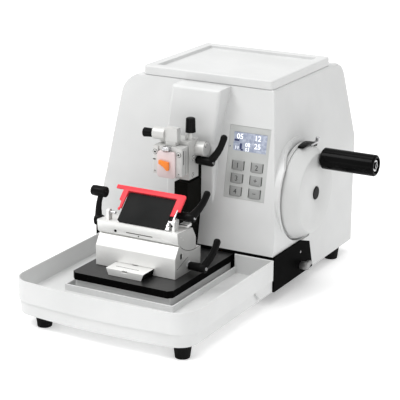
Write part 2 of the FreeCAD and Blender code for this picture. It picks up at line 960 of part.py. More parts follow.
slot_half = S.column_width / 2 + S.column_gap
rear_x = housing_x + S.rear_plate_side
rear_z = edge_z + S.rear_plate_rise
coarse_y = front_y + S.coarse_run
coarse_z = edge_z + S.coarse_rise
cover_tools = [
    cavity,
    hump_hollow,
    block(
        "column_slot",
        column_x - slot_half,
        front_y - S.overrun,
        edge_z - S.overrun,
        column_x + slot_half,
        hump_back_y,
        edge_z + S.column_top_rise + S.column_gap * 3,
    ),
    rod("wheel_bay", S.bay_radius, S.bay_depth * 2, right_x - S.bay_depth, shaft_y, shaft_z, "+X"),
    rod(
        "shaft_hole",
        S.shaft_radius + S.shaft_hole_gap,
        S.cavity_side_inset * 2,
        right_x - S.cavity_side_inset - S.overrun,
        shaft_y,
        shaft_z,
        "+X",
    ),
    rod(
        "coarse_hole",
        S.coarse_axle_radius + S.coarse_hole_gap,
        S.coarse_axle_length,
        left_x - S.overrun,
        coarse_y,
        coarse_z,
        "+X",
    ),
    face_block("panel_seat", 0, 0, -S.panel_recess, S.panel_width, S.panel_height, S.overrun),
    face_block(
        "panel_window",
        S.panel_ledge,
        S.panel_ledge,
        -S.housing_wall * 2,
        S.panel_width - S.panel_ledge,
        S.panel_height - S.panel_ledge,
        0,
    ),
    block(
        "rear_window",
        rear_x,
        back_y - S.housing_wall - S.overrun,
        rear_z,
        rear_x + S.rear_plate_width,
        back_y + S.overrun,
        rear_z + S.rear_plate_height,
    ),
]
shell = cut_from("side_trimmed", outer, [side_tool, swell_tool, ring_tool])
keep(cut_from("housing_cover", join("shell_with_hump", [shell, hump]), cover_tools))

# Lid: a shallow tray on the roof for slides and blocks.
lid = keep(new_body("top_lid"))
lid_right = right_at(roof_z) - S.lid_side_set
lid_left = lid_right - S.lid_width
lid_front = front_y + S.lid_front_set
lid_back = lid_front + S.lid_depth
extrude(lid, "top", roof_z, S.lid_height, [rectangle(lid_left, lid_front, lid_right, lid_back)])
round_edges(lid, S.lid_corner, lambda m, w: abs(w.z) > S.lid_height.value - 1)
extrude(
    lid,
    "top",
    roof_z + S.lid_height - S.lid_recess,
    S.lid_recess,
    [
        rectangle(
            lid_left + S.lid_rim_width,
            lid_front + S.lid_rim_width,
            lid_right - S.lid_rim_width,
            lid_back - S.lid_rim_width,
        )
    ],
    cut=True,
)
round_edges(
    lid,
    S.lid_edge_radius,
    lambda m, w: m.z > roof_z.value + S.lid_height.value - 0.01
    and not (lid_left.value + 7 < m.x < lid_right.value - 7 and lid_front.value + 7 < m.y < lid_back.value - 7),
)

# Chassis: black cheeks under the housing's front, with a floor that runs back inside the skirt.
chassis = keep(new_body("base_chassis"))
extrude(
    chassis,
    "side",
    left_x,
    S.housing_width,
    [
        [
            (front_y, base_z),
            (front_y + S.cheek_foot_run, base_z),
            (front_y + S.cheek_step_run, edge_z - S.cheek_step_drop),
            (front_y + S.cheek_top_run, edge_z),
            (front_y, edge_z),
        ]
    ],
)
extrude(
    chassis,
    "top",
    floor_z,
    S.skirt_height,
    [
        rectangle(
            left_x + S.chassis_wall,
            front_y + S.chassis_wall,
            right_x - S.chassis_wall,
            front_y + S.cheek_foot_run + S.overrun,
        )
    ],
    cut=True,
)
floor_gap = S.housing_wall + S.running_gap
extrude(
    chassis,
    "top",
    base_z,
    S.chassis_floor,
    [
        rectangle(
            left_x + floor_gap,
            front_y + S.cheek_top_run,
            right_x - S.cavity_side_inset - S.running_gap,
            back_y - floor_gap,
        )
    ],
)
column_back_y = front_y + S.carriage_run
column_front_y = front_y - S.column_front
extrude(
    chassis,
    "top",
    base_z + S.column_pit_floor,
    S.skirt_height,
    [
        rectangle(
            column_x - slot_half,
            front_y - S.overrun,
            column_x + slot_half,
            column_back_y + S.column_gap,
        )
    ],
    cut=True,
)
lock_y = front_y + S.lock_run
lock_z = edge_z - S.lock_drop
extrude(
    chassis,
    "side",
    right_x - S.lock_stud_length - S.running_gap,
    S.chassis_wall,
    circles=[(lock_y, lock_z, S.lock_stud_radius + S.shaft_fit)],
    cut=True,
)

# Tray and plinth share one outline with a bowed front and rounded front corners.
tray_left = right_x - S.tray_width
tray_corner_y = front_y - S.tray_reach + S.tray_bow
tray_straight = S.tray_width - S.tray_corner * 2
bow_radius = tray_straight * tray_straight / (S.tray_bow * 8) + S.tray_bow / 2


def tray_outline(inset, rear_y):
    corner = S.tray_corner - inset
    low = tray_corner_y + inset
    turn_y = tray_corner_y + S.tray_corner
    return [
        (tray_left + inset, rear_y),
        (tray_left + inset, turn_y),
        arc_to((tray_left + S.tray_corner, low), corner, False),
        arc_to((right_x - S.tray_corner, low), bow_radius, False),
        arc_to((right_x - inset, turn_y), corner, False),
        (right_x - inset, rear_y),
    ]


plinth_top_z = base_z + S.plinth_height
plinth = keep(new_body("base_plinth"))
extrude(plinth, "top", base_z, S.plinth_height, [tray_outline(S.plinth_inset, front_y)])
column_pit = rectangle(
    column_x - slot_half, column_front_y - S.column_gap, column_x + slot_half, front_y + S.overrun
)
extrude(
    plinth,
    "top",
    base_z - S.overrun,
    S.plinth_height - S.plinth_top + S.overrun,
    [
        rectangle(
            tray_left + S.plinth_wall * 2,
            tray_corner_y + S.plinth_wall + S.overrun * 2,
            right_x - S.plinth_wall,
            column_front_y - S.overrun,
        )
    ],
    cut=True,
)

feet = []
for i, (x, y) in enumerate(
    (
        (right_x - S.front_foot_right, front_y - S.front_foot_reach),
        (tray_left + S.front_foot_left, front_y - S.front_foot_reach),
        (right_x - S.rear_foot_inset, front_y + S.rear_foot_run),
        (left_x + S.rear_foot_inset, front_y + S.rear_foot_run),
    ),
    start=1,
):
    foot = doc.addObject("Part::Cone", f"foot_{i}")
    bind(foot, "Radius1", S.foot_tip_radius)
    bind(foot, "Radius2", S.foot_radius)
    bind(foot, "Height", S.foot_height)
    feet.append(place(foot, x, y, ZERO))
keep(group("feet", feet))

# Bed: a white block on the plinth and the black plate that the knife holder slides on.
bed_x = work_x + S.bed_plate_offset
bed_left = bed_x - S.bed_plate_width / 2
bed_right = bed_x + S.bed_plate_width / 2
bed_front = front_y - S.bed_plate_front
plate_top_z = edge_z - S.bed_plate_drop
plate_low_z = plate_top_z - S.bed_plate_thickness
extrude(
    plinth,
    "top",
    plinth_top_z,
    plate_low_z - plinth_top_z,
    [rectangle(bed_left + S.bed_inset, bed_front + S.bed_inset, bed_right - S.bed_inset, front_y)],
)
extrude(plinth, "top", base_z + S.column_pit_floor, S.skirt_height, [column_pit], cut=True)
bed_plate = keep(new_body("bed_plate"))
extrude(
    bed_plate,
    "top",
    plate_low_z,
    S.bed_plate_thickness,
    [
        [
            (bed_left + S.bed_plate_chamfer, bed_front),
            (bed_right - S.bed_plate_chamfer, bed_front),
            (bed_right, bed_front + S.bed_plate_chamfer),
            (bed_right, front_y),
            (bed_left, front_y),
            (bed_left, bed_front + S.bed_plate_chamfer),
        ]
    ],
)
extrude(bed_plate, "top", plate_low_z - S.overrun, S.skirt_height, [column_pit], cut=True)

# Waste tray: slides out to the front, open round the bed.
tray = keep(new_body("waste_tray"))
tray_low_z = plinth_top_z + S.running_gap
tray_rim_z = edge_z - S.tray_rim_drop
tray_rear_y = front_y - S.tray_rear_gap
tray_height = tray_rim_z - tray_low_z
extrude(tray, "top", tray_low_z, tray_height, [tray_outline(ZERO, tray_rear_y)])
extrude(
    tray,
    "top",
    tray_low_z + S.tray_wall,
    tray_height,
    [tray_outline(S.tray_wall, tray_rear_y - S.tray_wall)],
    cut=True,
)
mouth_gap = S.tray_bed_gap + S.tray_wall
extrude(
    tray,
    "top",
    tray_low_z,
    S.tray_lip_height,
    [rectangle(bed_left - mouth_gap, bed_front - mouth_gap, bed_right + mouth_gap, tray_rear_y)],
)
extrude(
    tray,
    "top",
    tray_low_z - S.overrun,
    tray_height + S.overrun * 2,
    [
        rectangle(
            bed_left - S.tray_bed_gap,
            bed_front - S.tray_bed_gap,
            bed_right + S.tray_bed_gap,
            tray_rear_y + S.overrun,
        )
    ],
    cut=True,
)

# Upright frame and the two rails that the carriage slides on.
post_half = S.post_width / 2
post_y = front_y + S.post_run
frame_top_z = roof_z - S.frame_top_drop
post_xs = [column_x + S.post_spacing * side / 2 for side in (-1, 1)]
frame_parts = [
    block(f"post_{i}", x - post_half, post_y, floor_z, x + post_half, post_y + S.post_depth, frame_top_z)
    for i, x in enumerate(post_xs, start=1)
]
for name, z in (("foot_bridge", floor_z), ("top_bridge", frame_top_z - S.frame_bridge)):
    frame_parts.append(
        block(name, post_xs[0], post_y, z, post_xs[1], post_y + S.post_depth, z + S.frame_bridge)
    )
keep(join("upright_frame", frame_parts))
rail_half = S.rail_width / 2
keep(
    group(
        "vertical_rails",
        [
            block(
                f"rail_{i}",
                x - rail_half,
                post_y - S.rail_depth,
                floor_z + S.frame_bridge + S.rail_end_gap,
                x + rail_half,
                post_y,
                frame_top_z - S.rail_end_gap,
            )
            for i, x in enumerate(post_xs, start=1)
        ],
    )
)

# Carriage: a block on the rails, with a column in front of the housing and a yoke for the crank.
carriage = keep(new_body("carriage"))
carriage_left = column_x - S.carriage_width / 2
carriage_right = column_x + S.carriage_width / 2
carriage_back_y = column_back_y + S.carriage_depth
carriage_z = edge_z + S.carriage_rise
extrude(
    carriage,
    "top",
    carriage_z,
    S.carriage_height,
    [rectangle(carriage_left, column_back_y, carriage_right, carriage_back_y)],
)
column_top_z = edge_z + S.column_top_rise
neck_y = front_y + S.column_neck_set
column_step_z = edge_z + S.column_step_rise
column_left = column_x - S.column_width / 2
column_low_z = edge_z + S.column_low_rise
extrude(
    carriage,
    "side",
    column_left,
    S.column_width,
    [
        [
            (column_back_y, column_low_z),
            (column_front_y, column_low_z),
            (column_front_y, column_step_z),
            (neck_y, column_step_z),
            (neck_y, column_top_z),
            (column_back_y, column_top_z),
        ]
    ],
)
crank_z = shaft_z + S.crank_radius
yoke_half = S.yoke_height / 2
extrude(
    carriage,
    "side",
    carriage_right,
    S.yoke_thickness,
    [
        rectangle(column_back_y, crank_z - yoke_half, column_back_y + S.yoke_length, crank_z + yoke_half),
        rectangle(
            shaft_y - S.yoke_slot_length / 2,
            crank_z - S.yoke_slot_height / 2,
            shaft_y + S.yoke_slot_length / 2,
            crank_z + S.yoke_slot_height / 2,
        ),
    ],
)
channel_half = rail_half + S.running_gap
extrude(
    carriage,
    "top",
    carriage_z - S.overrun,
    S.carriage_height + S.overrun * 2,
    [
        rectangle(
            x - channel_half,
            post_y - S.rail_depth - S.running_gap,
            x + channel_half,
            carriage_back_y + S.overrun,
        )
        for x in post_xs
    ],
    cut=True,
)
ram_bore = S.tongue_radius + S.shaft_fit
extrude(
    carriage,
    "front",
    neck_y - S.overrun,
    carriage_back_y - neck_y + S.overrun * 2,
    circles=[(column_x, head_z, ram_bore)],
    cut=True,
)
shield_y = front_y + S.shield_set
keep(
    block(
        "slot_shield",
        column_x - S.shield_width / 2,
        shield_y,
        column_top_z,
        column_x + S.shield_width / 2,
        shield_y + S.shield_thickness,
        column_top_z + S.shield_height,
    )
)

# Feed: a motor behind the carriage pushes the ram that carries the specimen head.
motor = keep(new_body("feed_motor"))
m = S.motor_half_side
mc = S.motor_corner
extrude(
    motor,
    "front",
    carriage_back_y,
    S.motor_length,
    [
        [
            (column_x - m + mc, head_z - m),
            (column_x + m - mc, head_z - m),
            (column_x + m, head_z - m + mc),
            (column_x + m, head_z + m - mc),
            (column_x + m - mc, head_z + m),
            (column_x - m + mc, head_z + m),
            (column_x - m, head_z + m - mc),
            (column_x - m, head_z - m + mc),
        ]
    ],
)
keep(
    rod(
        "lead_screw",
        S.lead_screw_radius,
        S.lead_screw_length,
        column_x,
        carriage_back_y,
        head_z,
        "-Y",
    )
)
ram = keep(new_body("feed_ram"))
ram_y = head_y + S.ram_set
tongue = S.tongue_radius
extrude(ram, "front", ram_y, S.ram_length, circles=[(column_x, head_z, tongue)])
extrude(
    ram,
    "side",
    column_x - S.tongue_width / 2,
    S.tongue_width,
    [
        [
            (ram_y + S.ram_set, head_z - tongue / 2),
            (ram_y + S.ram_set, head_z + tongue / 2),
            (ram_y, head_z + tongue / 2),
            (ram_y, head_z + tongue),
            (head_y, head_z + tongue),
            arc_to((head_y - tongue, head_z), tongue, False),
            arc_to((head_y, head_z - tongue), tongue, False),
            (ram_y, head_z - tongue),
            (ram_y, head_z - tongue / 2),
        ]
    ],
)
pivot_bore = S.pivot_pin_radius + S.shaft_fit
extrude(
    ram,
    "side",
    column_x - S.tongue_width,
    S.tongue_width * 2,
    circles=[(head_y, head_z, pivot_bore)],
    cut=True,
)
extrude(
    ram,
    "front",
    ram_y + S.ram_length - S.ram_bore_depth,
    S.ram_bore_depth + S.overrun,
    circles=[(column_x, head_z, S.lead_screw_radius + S.shaft_fit)],
    cut=True,
)

# Specimen head: a frame that pitches on the ram, and a clamp that swivels in the frame's two lugs.
tilt_frame = keep(new_body("tilt_frame"))
head_left = work_x - S.head_half_width
head_right = work_x + S.head_half_width
frame_back_y = head_y + S.frame_back_set
frame_front_y = head_y - S.frame_front_set
frame_top_z = head_z + S.frame_above
frame_low_z = head_z - S.frame_below
extrude(
    tilt_frame,
    "top",
    frame_low_z,
    S.frame_above + S.frame_below,
    [rectangle(head_left, frame_front_y, head_right, frame_back_y)],
)
round_edges(
    tilt_frame,
    S.frame_chamfer,
    lambda m, w: abs(w.z) > 20 and m.y > head_y.value,
    "PartDesign::Chamfer",
)
tongue_slot_half = S.tongue_width / 2 + S.tongue_side_gap
extrude(
    tilt_frame,
    "side",
    column_x - tongue_slot_half,
    tongue_slot_half * 2,
    [
        rectangle(
            head_y - S.tongue_slot_front,
            head_z - S.tongue_slot_half,
            frame_back_y + S.overrun,
            head_z + S.tongue_slot_half,
        )
    ],
    cut=True,
)
extrude(
    tilt_frame,
    "side",
    column_x - S.pivot_pin_left,
    S.head_half_width * 2,
    circles=[(head_y, head_z, pivot_bore)],
    cut=True,
)
clamp_top_z = head_z + S.clamp_above
clamp_low_z = head_z - S.clamp_below
for z in (clamp_top_z + S.lug_gap, clamp_low_z - S.lug_gap - S.lug_height):
    extrude(
        tilt_frame,
        "top",
        z,
        S.lug_height,
        [
            rectangle(
                work_x - S.lug_half_width,
                frame_front_y - S.lug_reach,
                work_x + S.lug_half_width,
                frame_front_y + S.overrun,
            )
        ],
    )
yaw_y = frame_front_y - S.yaw_block_front
extrude(
    tilt_frame,
    "top",
    frame_top_z,
    S.yaw_block_height,
    [
        rectangle(
            work_x - S.yaw_block_left, yaw_y, work_x + S.yaw_block_right, yaw_y + S.yaw_block_depth
        )
    ],
)
pin_y = frame_front_y - S.yaw_pin_set
extrude(
    tilt_frame,
    "top",
    frame_low_z,
    S.frame_above + S.frame_below,
    circles=[(work_x, pin_y, pivot_bore)],
    cut=True,
)
stem_bore = S.knob_stem_radius + S.shaft_fit
pitch_knob_x = work_x + S.pitch_knob_side
pitch_knob_y = head_y - S.pitch_knob_front
extrude(
    tilt_frame,
    "top",
    frame_top_z - S.knob_stem_socket,
    S.knob_stem_socket + S.overrun,
    circles=[(pitch_knob_x, pitch_knob_y, stem_bore)],
    cut=True,
)
yaw_axis_y = frame_front_y - S.yaw_axis_set
yaw_axis_z = frame_top_z + S.yaw_axis_rise
yaw_block_x = work_x - S.yaw_block_left
extrude(
    tilt_frame,
    "side",
    yaw_block_x - S.overrun,
    S.knob_stem_socket + S.overrun,
    circles=[(yaw_axis_y, yaw_axis_z, stem_bore)],
    cut=True,
)
keep(
    group(
        "head_pins",
        [
            rod(
                "pitch_pin",
                S.pivot_pin_radius,
                S.pivot_pin_length,
                column_x - S.pivot_pin_left,
                head_y,
                head_z,
                "+X",
            ),
            rod(
                "yaw_pin",
                S.pivot_pin_radius,
                frame_top_z - clamp_low_z + S.lug_height,
                work_x,
                pin_y,
                clamp_low_z - S.lug_height,
            ),
        ],
    )
)
yaw_collar = cut_from(
    "yaw_collar",
    rod("yaw_collar_bar", S.collar_radius, S.collar_length, yaw_block_x, yaw_axis_y, yaw_axis_z, "-X"),
    [rod("yaw_collar_bore", stem_bore, S.collar_length, yaw_block_x, yaw_axis_y, yaw_axis_z, "-X")],
)
index_disc = rod(
    "index_disc",
    S.disc_radius,
    S.disc_length,
    head_right,
    head_y + S.disc_back,
    head_z + S.disc_rise,
    "+X",
)
keep(group("head_collars", [yaw_collar, index_disc]))


def knob(name, radius, length, stem, x, y, z, way):
    """A knob on a stem: its own Z runs from the stem's inner end out to the knob's face."""
    edge = S.knob_edge
    return turned(
        name,
        [
            (0, 0),
            (S.knob_stem_radius, 0),
            (S.knob_stem_radius, stem),
            (radius - edge, stem),
            (radius, stem + edge),
            (radius, stem + length - edge),
            (radius - edge, stem + length),
            (0, stem + length),
        ],
        x,
        y,
        z,
        way,
    )


keep(
    knob(
        "pitch_knob",
        S.knob_radius,
        S.knob_length,
        S.knob_stem_socket + S.knob_stem_length,
        pitch_knob_x,
        pitch_knob_y,
        frame_top_z - S.knob_stem_socket,
        "+Z",
    )
)
keep(
    knob(
        "yaw_knob",
        S.yaw_knob_radius,
        S.yaw_knob_length,
        S.knob_stem_socket + S.collar_length + S.running_gap,
        yaw_block_x + S.knob_stem_socket,
        yaw_axis_y,
        yaw_axis_z,
        "-X",
    )
)

clamp = keep(new_body("cassette_clamp"))
clamp_back_y = frame_front_y - S.clamp_gap
clamp_front_y = clamp_back_y - S.clamp_depth
extrude(
    clamp,
    "top",
    clamp_low_z,
    S.clamp_above + S.clamp_below,
    [rectangle(head_left, clamp_front_y, head_right, clamp_back_y)],
)
round_edges(
    clamp,
    S.clamp_edge,
    lambda m, w: abs(w.z) > 20,
    "PartDesign::Chamfer",
)
seat_half = S.cassette_width / 2 + S.running_gap
seat_y = clamp_front_y + S.cassette_seat
extrude(
    clamp,
    "top",
    clamp_low_z - S.overrun,
    S.cassette_height * 2,
    [rectangle(work_x - seat_half, clamp_front_y - S.overrun, work_x + seat_half, seat_y)],
    cut=True,
)
extrude(
    clamp,
    "top",
    clamp_low_z - S.overrun,
    S.cassette_height * 2,
    circles=[(work_x, pin_y, pivot_bore)],
    cut=True,
)
cassette_low_z = head_z - S.cassette_below
cassette_front_y = seat_y - S.cassette_thickness
keep(
    block(
        "cassette",
        work_x - S.cassette_width / 2,
        cassette_front_y,
        cassette_low_z,
        work_x + S.cassette_width / 2,
        seat_y,
        cassette_low_z + S.cassette_height,
    )
)
wax_left = work_x - S.wax_side_shift - S.wax_width / 2
keep(
    block(
        "wax_block",
        wax_left,
        cassette_front_y - S.wax_thickness,
        head_z - S.wax_below,
        wax_left + S.wax_width,
        cassette_front_y,
        head_z - S.wax_below + S.wax_height,
    )
)
jaw_front_y = cassette_front_y - S.running_gap - S.jaw_lip
jaw_low_z = clamp_top_z + S.running_gap
keep(
    join(
        "clamp_jaw",
        [
            block(
                "jaw_top",
                work_x - S.jaw_half_width,
                jaw_front_y,
                jaw_low_z,
                work_x + S.jaw_half_width,
                jaw_front_y + S.jaw_reach,
                jaw_low_z + S.jaw_thickness,
            ),
            block(
                "jaw_lip_bar",
                work_x - S.jaw_half_width,
                jaw_front_y,
                jaw_low_z - S.jaw_drop,
                work_x + S.jaw_half_width,
                jaw_front_y + S.jaw_lip,
                jaw_low_z,
            ),
        ],
    )
)


def lever(name, x0, y, z, out, back, up, stud):
    """A ball lever on a hub along X: its arm leaves the hub's far end and its stud goes into the holder."""
    hub = rod(f"{name}_hub", S.lever_hub_radius, S.lever_hub_length, x0, y, z, "+X")
    start = x0 + S.lever_hub_length - S.lever_hub_radius
    tip = x0 + S.lever_hub_length + out
    way = Vector((tip - start).value, back.value, up.value)
    arm = doc.addObject("Part::Cone", f"{name}_arm")
    bind(arm, "Radius1", S.lever_hub_radius - S.shaft_fit * 20)
    bind(arm, "Radius2", S.lever_arm_radius)
    bind(arm, "Height", root((tip - start) * (tip - start) + back * back + up * up))
    place(arm, start, y, z, Rotation(Vector(0, 0, 1), way))
    ball = doc.addObject("Part::Sphere", f"{name}_tip")
    bind(ball, "Radius", S.lever_tip_radius)
    place(ball, tip, y + back, z + up)
    pin = rod(f"{name}_stud", S.lever_stud_radius, stud, x0 - stud, y, z, "+X")
    return join(name, [hub, arm, ball, pin])


keep(
    lever(
        "specimen_lever",
        head_right + S.lever_gap,
        head_y,
        head_z,
        S.head_lever_out,
        S.head_lever_back,
        S.head_lever_up,
        S.lever_stud_length,
    )
)

# Knife holder: a base on a dovetail rail, and a segment that tilts in the base about the blade's edge.
dovetail_low_z = plate_top_z
dovetail_top_z = plate_top_z + S.dovetail_height


def dovetail_outline(gap, low):
    return [
        (work_x - S.dovetail_foot_half - gap, low),
        (work_x + S.dovetail_foot_half + gap, low),
        (work_x + S.dovetail_half_width + gap, dovetail_top_z + gap),
        (work_x - S.dovetail_half_width - gap, dovetail_top_z + gap),
    ]


rail = keep(new_body("dovetail_rail"))
rail_y = front_y - S.dovetail_front
extrude(
    rail,
    "front",
    rail_y,
    S.dovetail_front - S.dovetail_back,
    [dovetail_outline(ZERO, dovetail_low_z)],
)
extrude(
    rail,
    "top",
    dovetail_top_z - S.dovetail_groove_depth,
    S.dovetail_height,
    [
        rectangle(
            work_x - S.dovetail_groove_half,
            rail_y - S.overrun,
            work_x + S.dovetail_groove_half,
            front_y,
        )
    ],
    cut=True,
)

arc_y = front_y - S.arc_centre_front
arc_z = edge_z + S.arc_centre_rise


def arc_height(y, radius):
    """Z on the segment's arc below its centre, at a given Y."""
    return arc_z - root(radius * radius - (y - arc_y) * (y - arc_y))


seat_radius = S.arc_radius + S.running_gap
holder_front_y = front_y - S.holder_front
holder_back_y = front_y - S.holder_back
lip_y = front_y - S.holder_lip_front
lip_z = edge_z + S.holder_lip_rise
seat_front_y = arc_y - root(seat_radius * seat_radius - (arc_z - lip_z) * (arc_z - lip_z))
base_low_z = plate_top_z + S.running_gap
knife_base = keep(new_body("knife_base"))
extrude(
    knife_base,
    "side",
    work_x - S.holder_left,
    S.holder_left + S.holder_right,
    [
        [
            (holder_front_y, base_low_z),
            (holder_front_y, edge_z + S.holder_front_rise),
            (lip_y, lip_z),
            (seat_front_y, lip_z),
            arc_to((holder_back_y, arc_height(holder_back_y, seat_radius)), seat_radius, False),
            (holder_back_y, base_low_z),
        ]
    ],
)
extrude(
    knife_base,
    "front",
    holder_front_y - S.overrun,
    S.holder_front,
    [dovetail_outline(S.running_gap, base_low_z - S.overrun)],
    cut=True,
)
extrude(
    knife_base,
    "side",
    work_x + S.holder_right - S.side_hole_depth,
    S.side_hole_depth + S.overrun,
    circles=[(front_y - S.side_hole_front, edge_z + S.side_hole_rise, S.side_hole_radius)],
    cut=True,
)
base_lever_y = front_y - S.base_lever_front
base_lever_z = edge_z + S.base_lever_rise
stud_bore = S.lever_stud_radius + S.shaft_fit
extrude(
    knife_base,
    "side",
    work_x + S.holder_right - S.lever_stud_length - S.running_gap,
    S.holder_right,
    circles=[(base_lever_y, base_lever_z, stud_bore)],
    cut=True,
)

# The blade lies on the wedge's slope: along runs up the slope from its top edge, off leaves it forward.
wedge_top_y = front_y - S.wedge_top_front
wedge_top_z = edge_z + S.wedge_top_rise
slope_run = S.wedge_foot_front - S.wedge_top_front
slope_rise = S.wedge_top_rise - S.wedge_foot_rise
slope_length = root(slope_run * slope_run + slope_rise * slope_rise)


def on_slope(along, off):
    along, off = as_size(along), as_size(off)
    return (
        wedge_top_y + (along * slope_run - off * slope_rise) / slope_length,
        wedge_top_z + (along * slope_rise + off * slope_run) / slope_length,
    )


segment_left = work_x - S.segment_left
segment_right = work_x + S.segment_right
segment_front_y = front_y - S.segment_front
segment_back_y = front_y - S.segment_back_front
blade_x = work_x + S.wedge_shift
blade_holder = keep(new_body("blade_holder"))
extrude(
    blade_holder,
    "side",
    segment_left,
    S.segment_left + S.segment_right,
    [
        [
            (front_y - S.segment_lip_front, edge_z + S.segment_lip_rise),
            (segment_front_y, arc_height(segment_front_y, S.arc_radius)),
            arc_to((segment_back_y, arc_height(segment_back_y, S.arc_radius)), S.arc_radius, False),
            (segment_back_y, edge_z + S.segment_back_rise),
            (front_y - S.segment_top_front, edge_z + S.segment_top_rise),
        ]
    ],
)
extrude(
    blade_holder,
    "side",
    blade_x - S.wedge_half_width,
    S.wedge_half_width * 2,
    [
        [
            (front_y - S.wedge_foot_front, edge_z + S.wedge_foot_rise),
            (wedge_top_y, wedge_top_z),
            (front_y - S.wedge_back_front, wedge_top_z),
            (front_y - S.segment_top_front, edge_z + S.segment_back_rise + S.overrun),
            (front_y - S.wedge_foot_front + S.overrun, edge_z + S.segment_back_rise + S.overrun),
        ]
    ],
)
guard_left = work_x - S.guard_left_reach
guard_right = work_x + S.guard_right_reach
pivot_y = front_y - S.guard_pivot_front
pivot_z = edge_z + S.guard_pivot_rise
ear_low_z = edge_z + S.segment_top_rise - S.overrun
ear_xs = (guard_left - S.running_gap - S.ear_thickness, guard_right + S.running_gap)
for x in ear_xs:
    extrude(
        blade_holder,
        "side",
        x,
        S.ear_thickness,
        [
            [
                (pivot_y - S.ear_half_depth, ear_low_z),
                (pivot_y + S.ear_half_depth, ear_low_z),
                (pivot_y + S.ear_half_depth, pivot_z),
                arc_to((pivot_y, pivot_z + S.ear_half_depth), S.ear_half_depth, False),
                arc_to((pivot_y - S.ear_half_depth, pivot_z), S.ear_half_depth, False),
            ]
        ],
    )
pin_bore = S.guard_pin_radius + S.shaft_fit
extrude(
    blade_holder,
    "side",
    segment_left,
    S.segment_left + S.segment_right,
    circles=[(pivot_y, pivot_z, S.guard_pin_radius)],
    cut=True,
)
blade_lever_y = front_y - S.blade_lever_front
blade_lever_z = edge_z + S.blade_lever_rise
wedge_right = blade_x + S.wedge_half_width
extrude(
    blade_holder,
    "side",
    wedge_right - S.lever_stud_length - S.running_gap,
    S.holder_right,
    circles=[(blade_lever_y, blade_lever_z, stud_bore)],
    cut=True,
)
side_lever_y = front_y - S.side_lever_front
side_lever_z = edge_z + S.side_lever_rise
extrude(
    blade_holder,
    "side",
    segment_left - S.overrun,
    S.lever_stud_length + S.running_gap + S.overrun,
    circles=[(side_lever_y, side_lever_z, stud_bore)],
    cut=True,
)
keep(
    group(
        "guard_pins",
        [
            rod(
                f"guard_pin_{i}",
                S.guard_pin_radius,
                S.ear_thickness + S.running_gap + width,
                x,
                pivot_y,
                pivot_z,
                "+X",
            )
            for i, (x, width) in enumerate(
                (
                    (ear_xs[0], S.guard_left_leg),
                    (guard_right - S.guard_right_leg, S.guard_right_leg),
                ),
                start=1,
            )
        ],
    )
)
blade = keep(new_body("blade"))
extrude(
    blade,
    "side",
    blade_x - S.blade_half_length,
    S.blade_half_length * 2,
    [
        [
            on_slope(S.blade_proud - S.blade_depth, 0),
            on_slope(S.blade_proud - S.blade_bevel, 0),
            on_slope(S.blade_proud, S.blade_thickness / 2),
            on_slope(S.blade_proud - S.blade_bevel, S.blade_thickness),
            on_slope(S.blade_proud - S.blade_depth, S.blade_thickness),
        ]
    ],
)
plate = keep(new_body("pressure_plate"))
plate_low = S.plate_top_reach - S.plate_length
plate_off = S.blade_thickness + S.running_gap
extrude(
    plate,
    "side",
    blade_x - S.wedge_half_width,
    S.wedge_half_width * 2,
    [
        [
            on_slope(plate_low, plate_off),
            on_slope(S.plate_top_reach, plate_off),
            on_slope(S.plate_top_reach - S.plate_thickness, plate_off + S.plate_thickness),
            on_slope(plate_low, plate_off + S.plate_thickness),
        ]
    ],
)

# Guard: a frame that hinges on the holder and covers the edge.
guard = keep(new_body("finger_guard"))
bar_y = front_y - S.guard_bar_front
bar_low_z = edge_z + S.guard_bar_low_rise
bar_top_z = edge_z + S.guard_bar_top_rise
extrude(
    guard,
    "side",
    guard_left,
    guard_right - guard_left,
    [rectangle(bar_y - S.guard_bar_depth, bar_low_z, bar_y, bar_top_z)],
)
leg_end_y = bar_y - S.guard_bar_depth / 2
leg_end_z = (bar_low_z + bar_top_z) / 2
leg_run = leg_end_y - pivot_y
leg_rise = leg_end_z - pivot_z
leg_length = root(leg_run * leg_run + leg_rise * leg_rise)
off_y = S.guard_half_thickness * leg_rise / leg_length
off_z = S.guard_half_thickness * leg_run / leg_length
leg_outline = [
    (pivot_y - off_y, pivot_z + off_z),
    (leg_end_y - off_y, leg_end_z + off_z),
    (leg_end_y + off_y, leg_end_z - off_z),
    (pivot_y + off_y, pivot_z - off_z),
]
for x, width in (
    (guard_left, S.guard_left_leg),
    (guard_right - S.guard_right_leg, S.guard_right_leg),
):
    extrude(guard, "side", x, width, [leg_outline])
    extrude(guard, "side", x, width, circles=[(pivot_y, pivot_z, S.guard_boss_radius)])
extrude(
    guard,
    "side",
    guard_left - S.guard_tab,
    S.guard_tab + S.overrun,
    [
        rectangle(
            bar_y - S.guard_bar_depth,
            bar_low_z,
            bar_y - S.guard_bar_depth + S.guard_half_thickness * 2,
            bar_top_z,
        )
    ],
)
extrude(
    guard,
    "side",
    guard_left - S.overrun,
    guard_right - guard_left + S.overrun * 2,
    circles=[(pivot_y, pivot_z, pin_bore)],
    cut=True,
)
keep(
    lever(
        "blade_lever",
        wedge_right + S.blade_lever_set,
        blade_lever_y,
        blade_lever_z,
        S.blade_lever_out,
        S.blade_lever_back,
        S.blade_lever_up,
        S.lever_stud_length + S.blade_lever_set,
    )
)
keep(
    lever(
        "base_lever",
        work_x + S.holder_right + S.lever_gap,
        base_lever_y,
        base_lever_z,
        S.base_lever_out,
        S.base_lever_back,
        S.base_lever_up,
        S.lever_stud_length,
    )
)
side_x = segment_left - S.lever_gap
side_mid_x = side_x - S.side_lever_hub_length / 2
side_arm = doc.addObject("Part::Cone", "side_lever_arm")
bind(side_arm, "Radius1", S.side_lever_arm_radius + S.shaft_fit)
bind(side_arm, "Radius2", S.side_lever_arm_radius)
bind(
    side_arm,
    "Height",
    root(S.side_lever_back * S.side_lever_back + S.side_lever_up * S.side_lever_up),
)
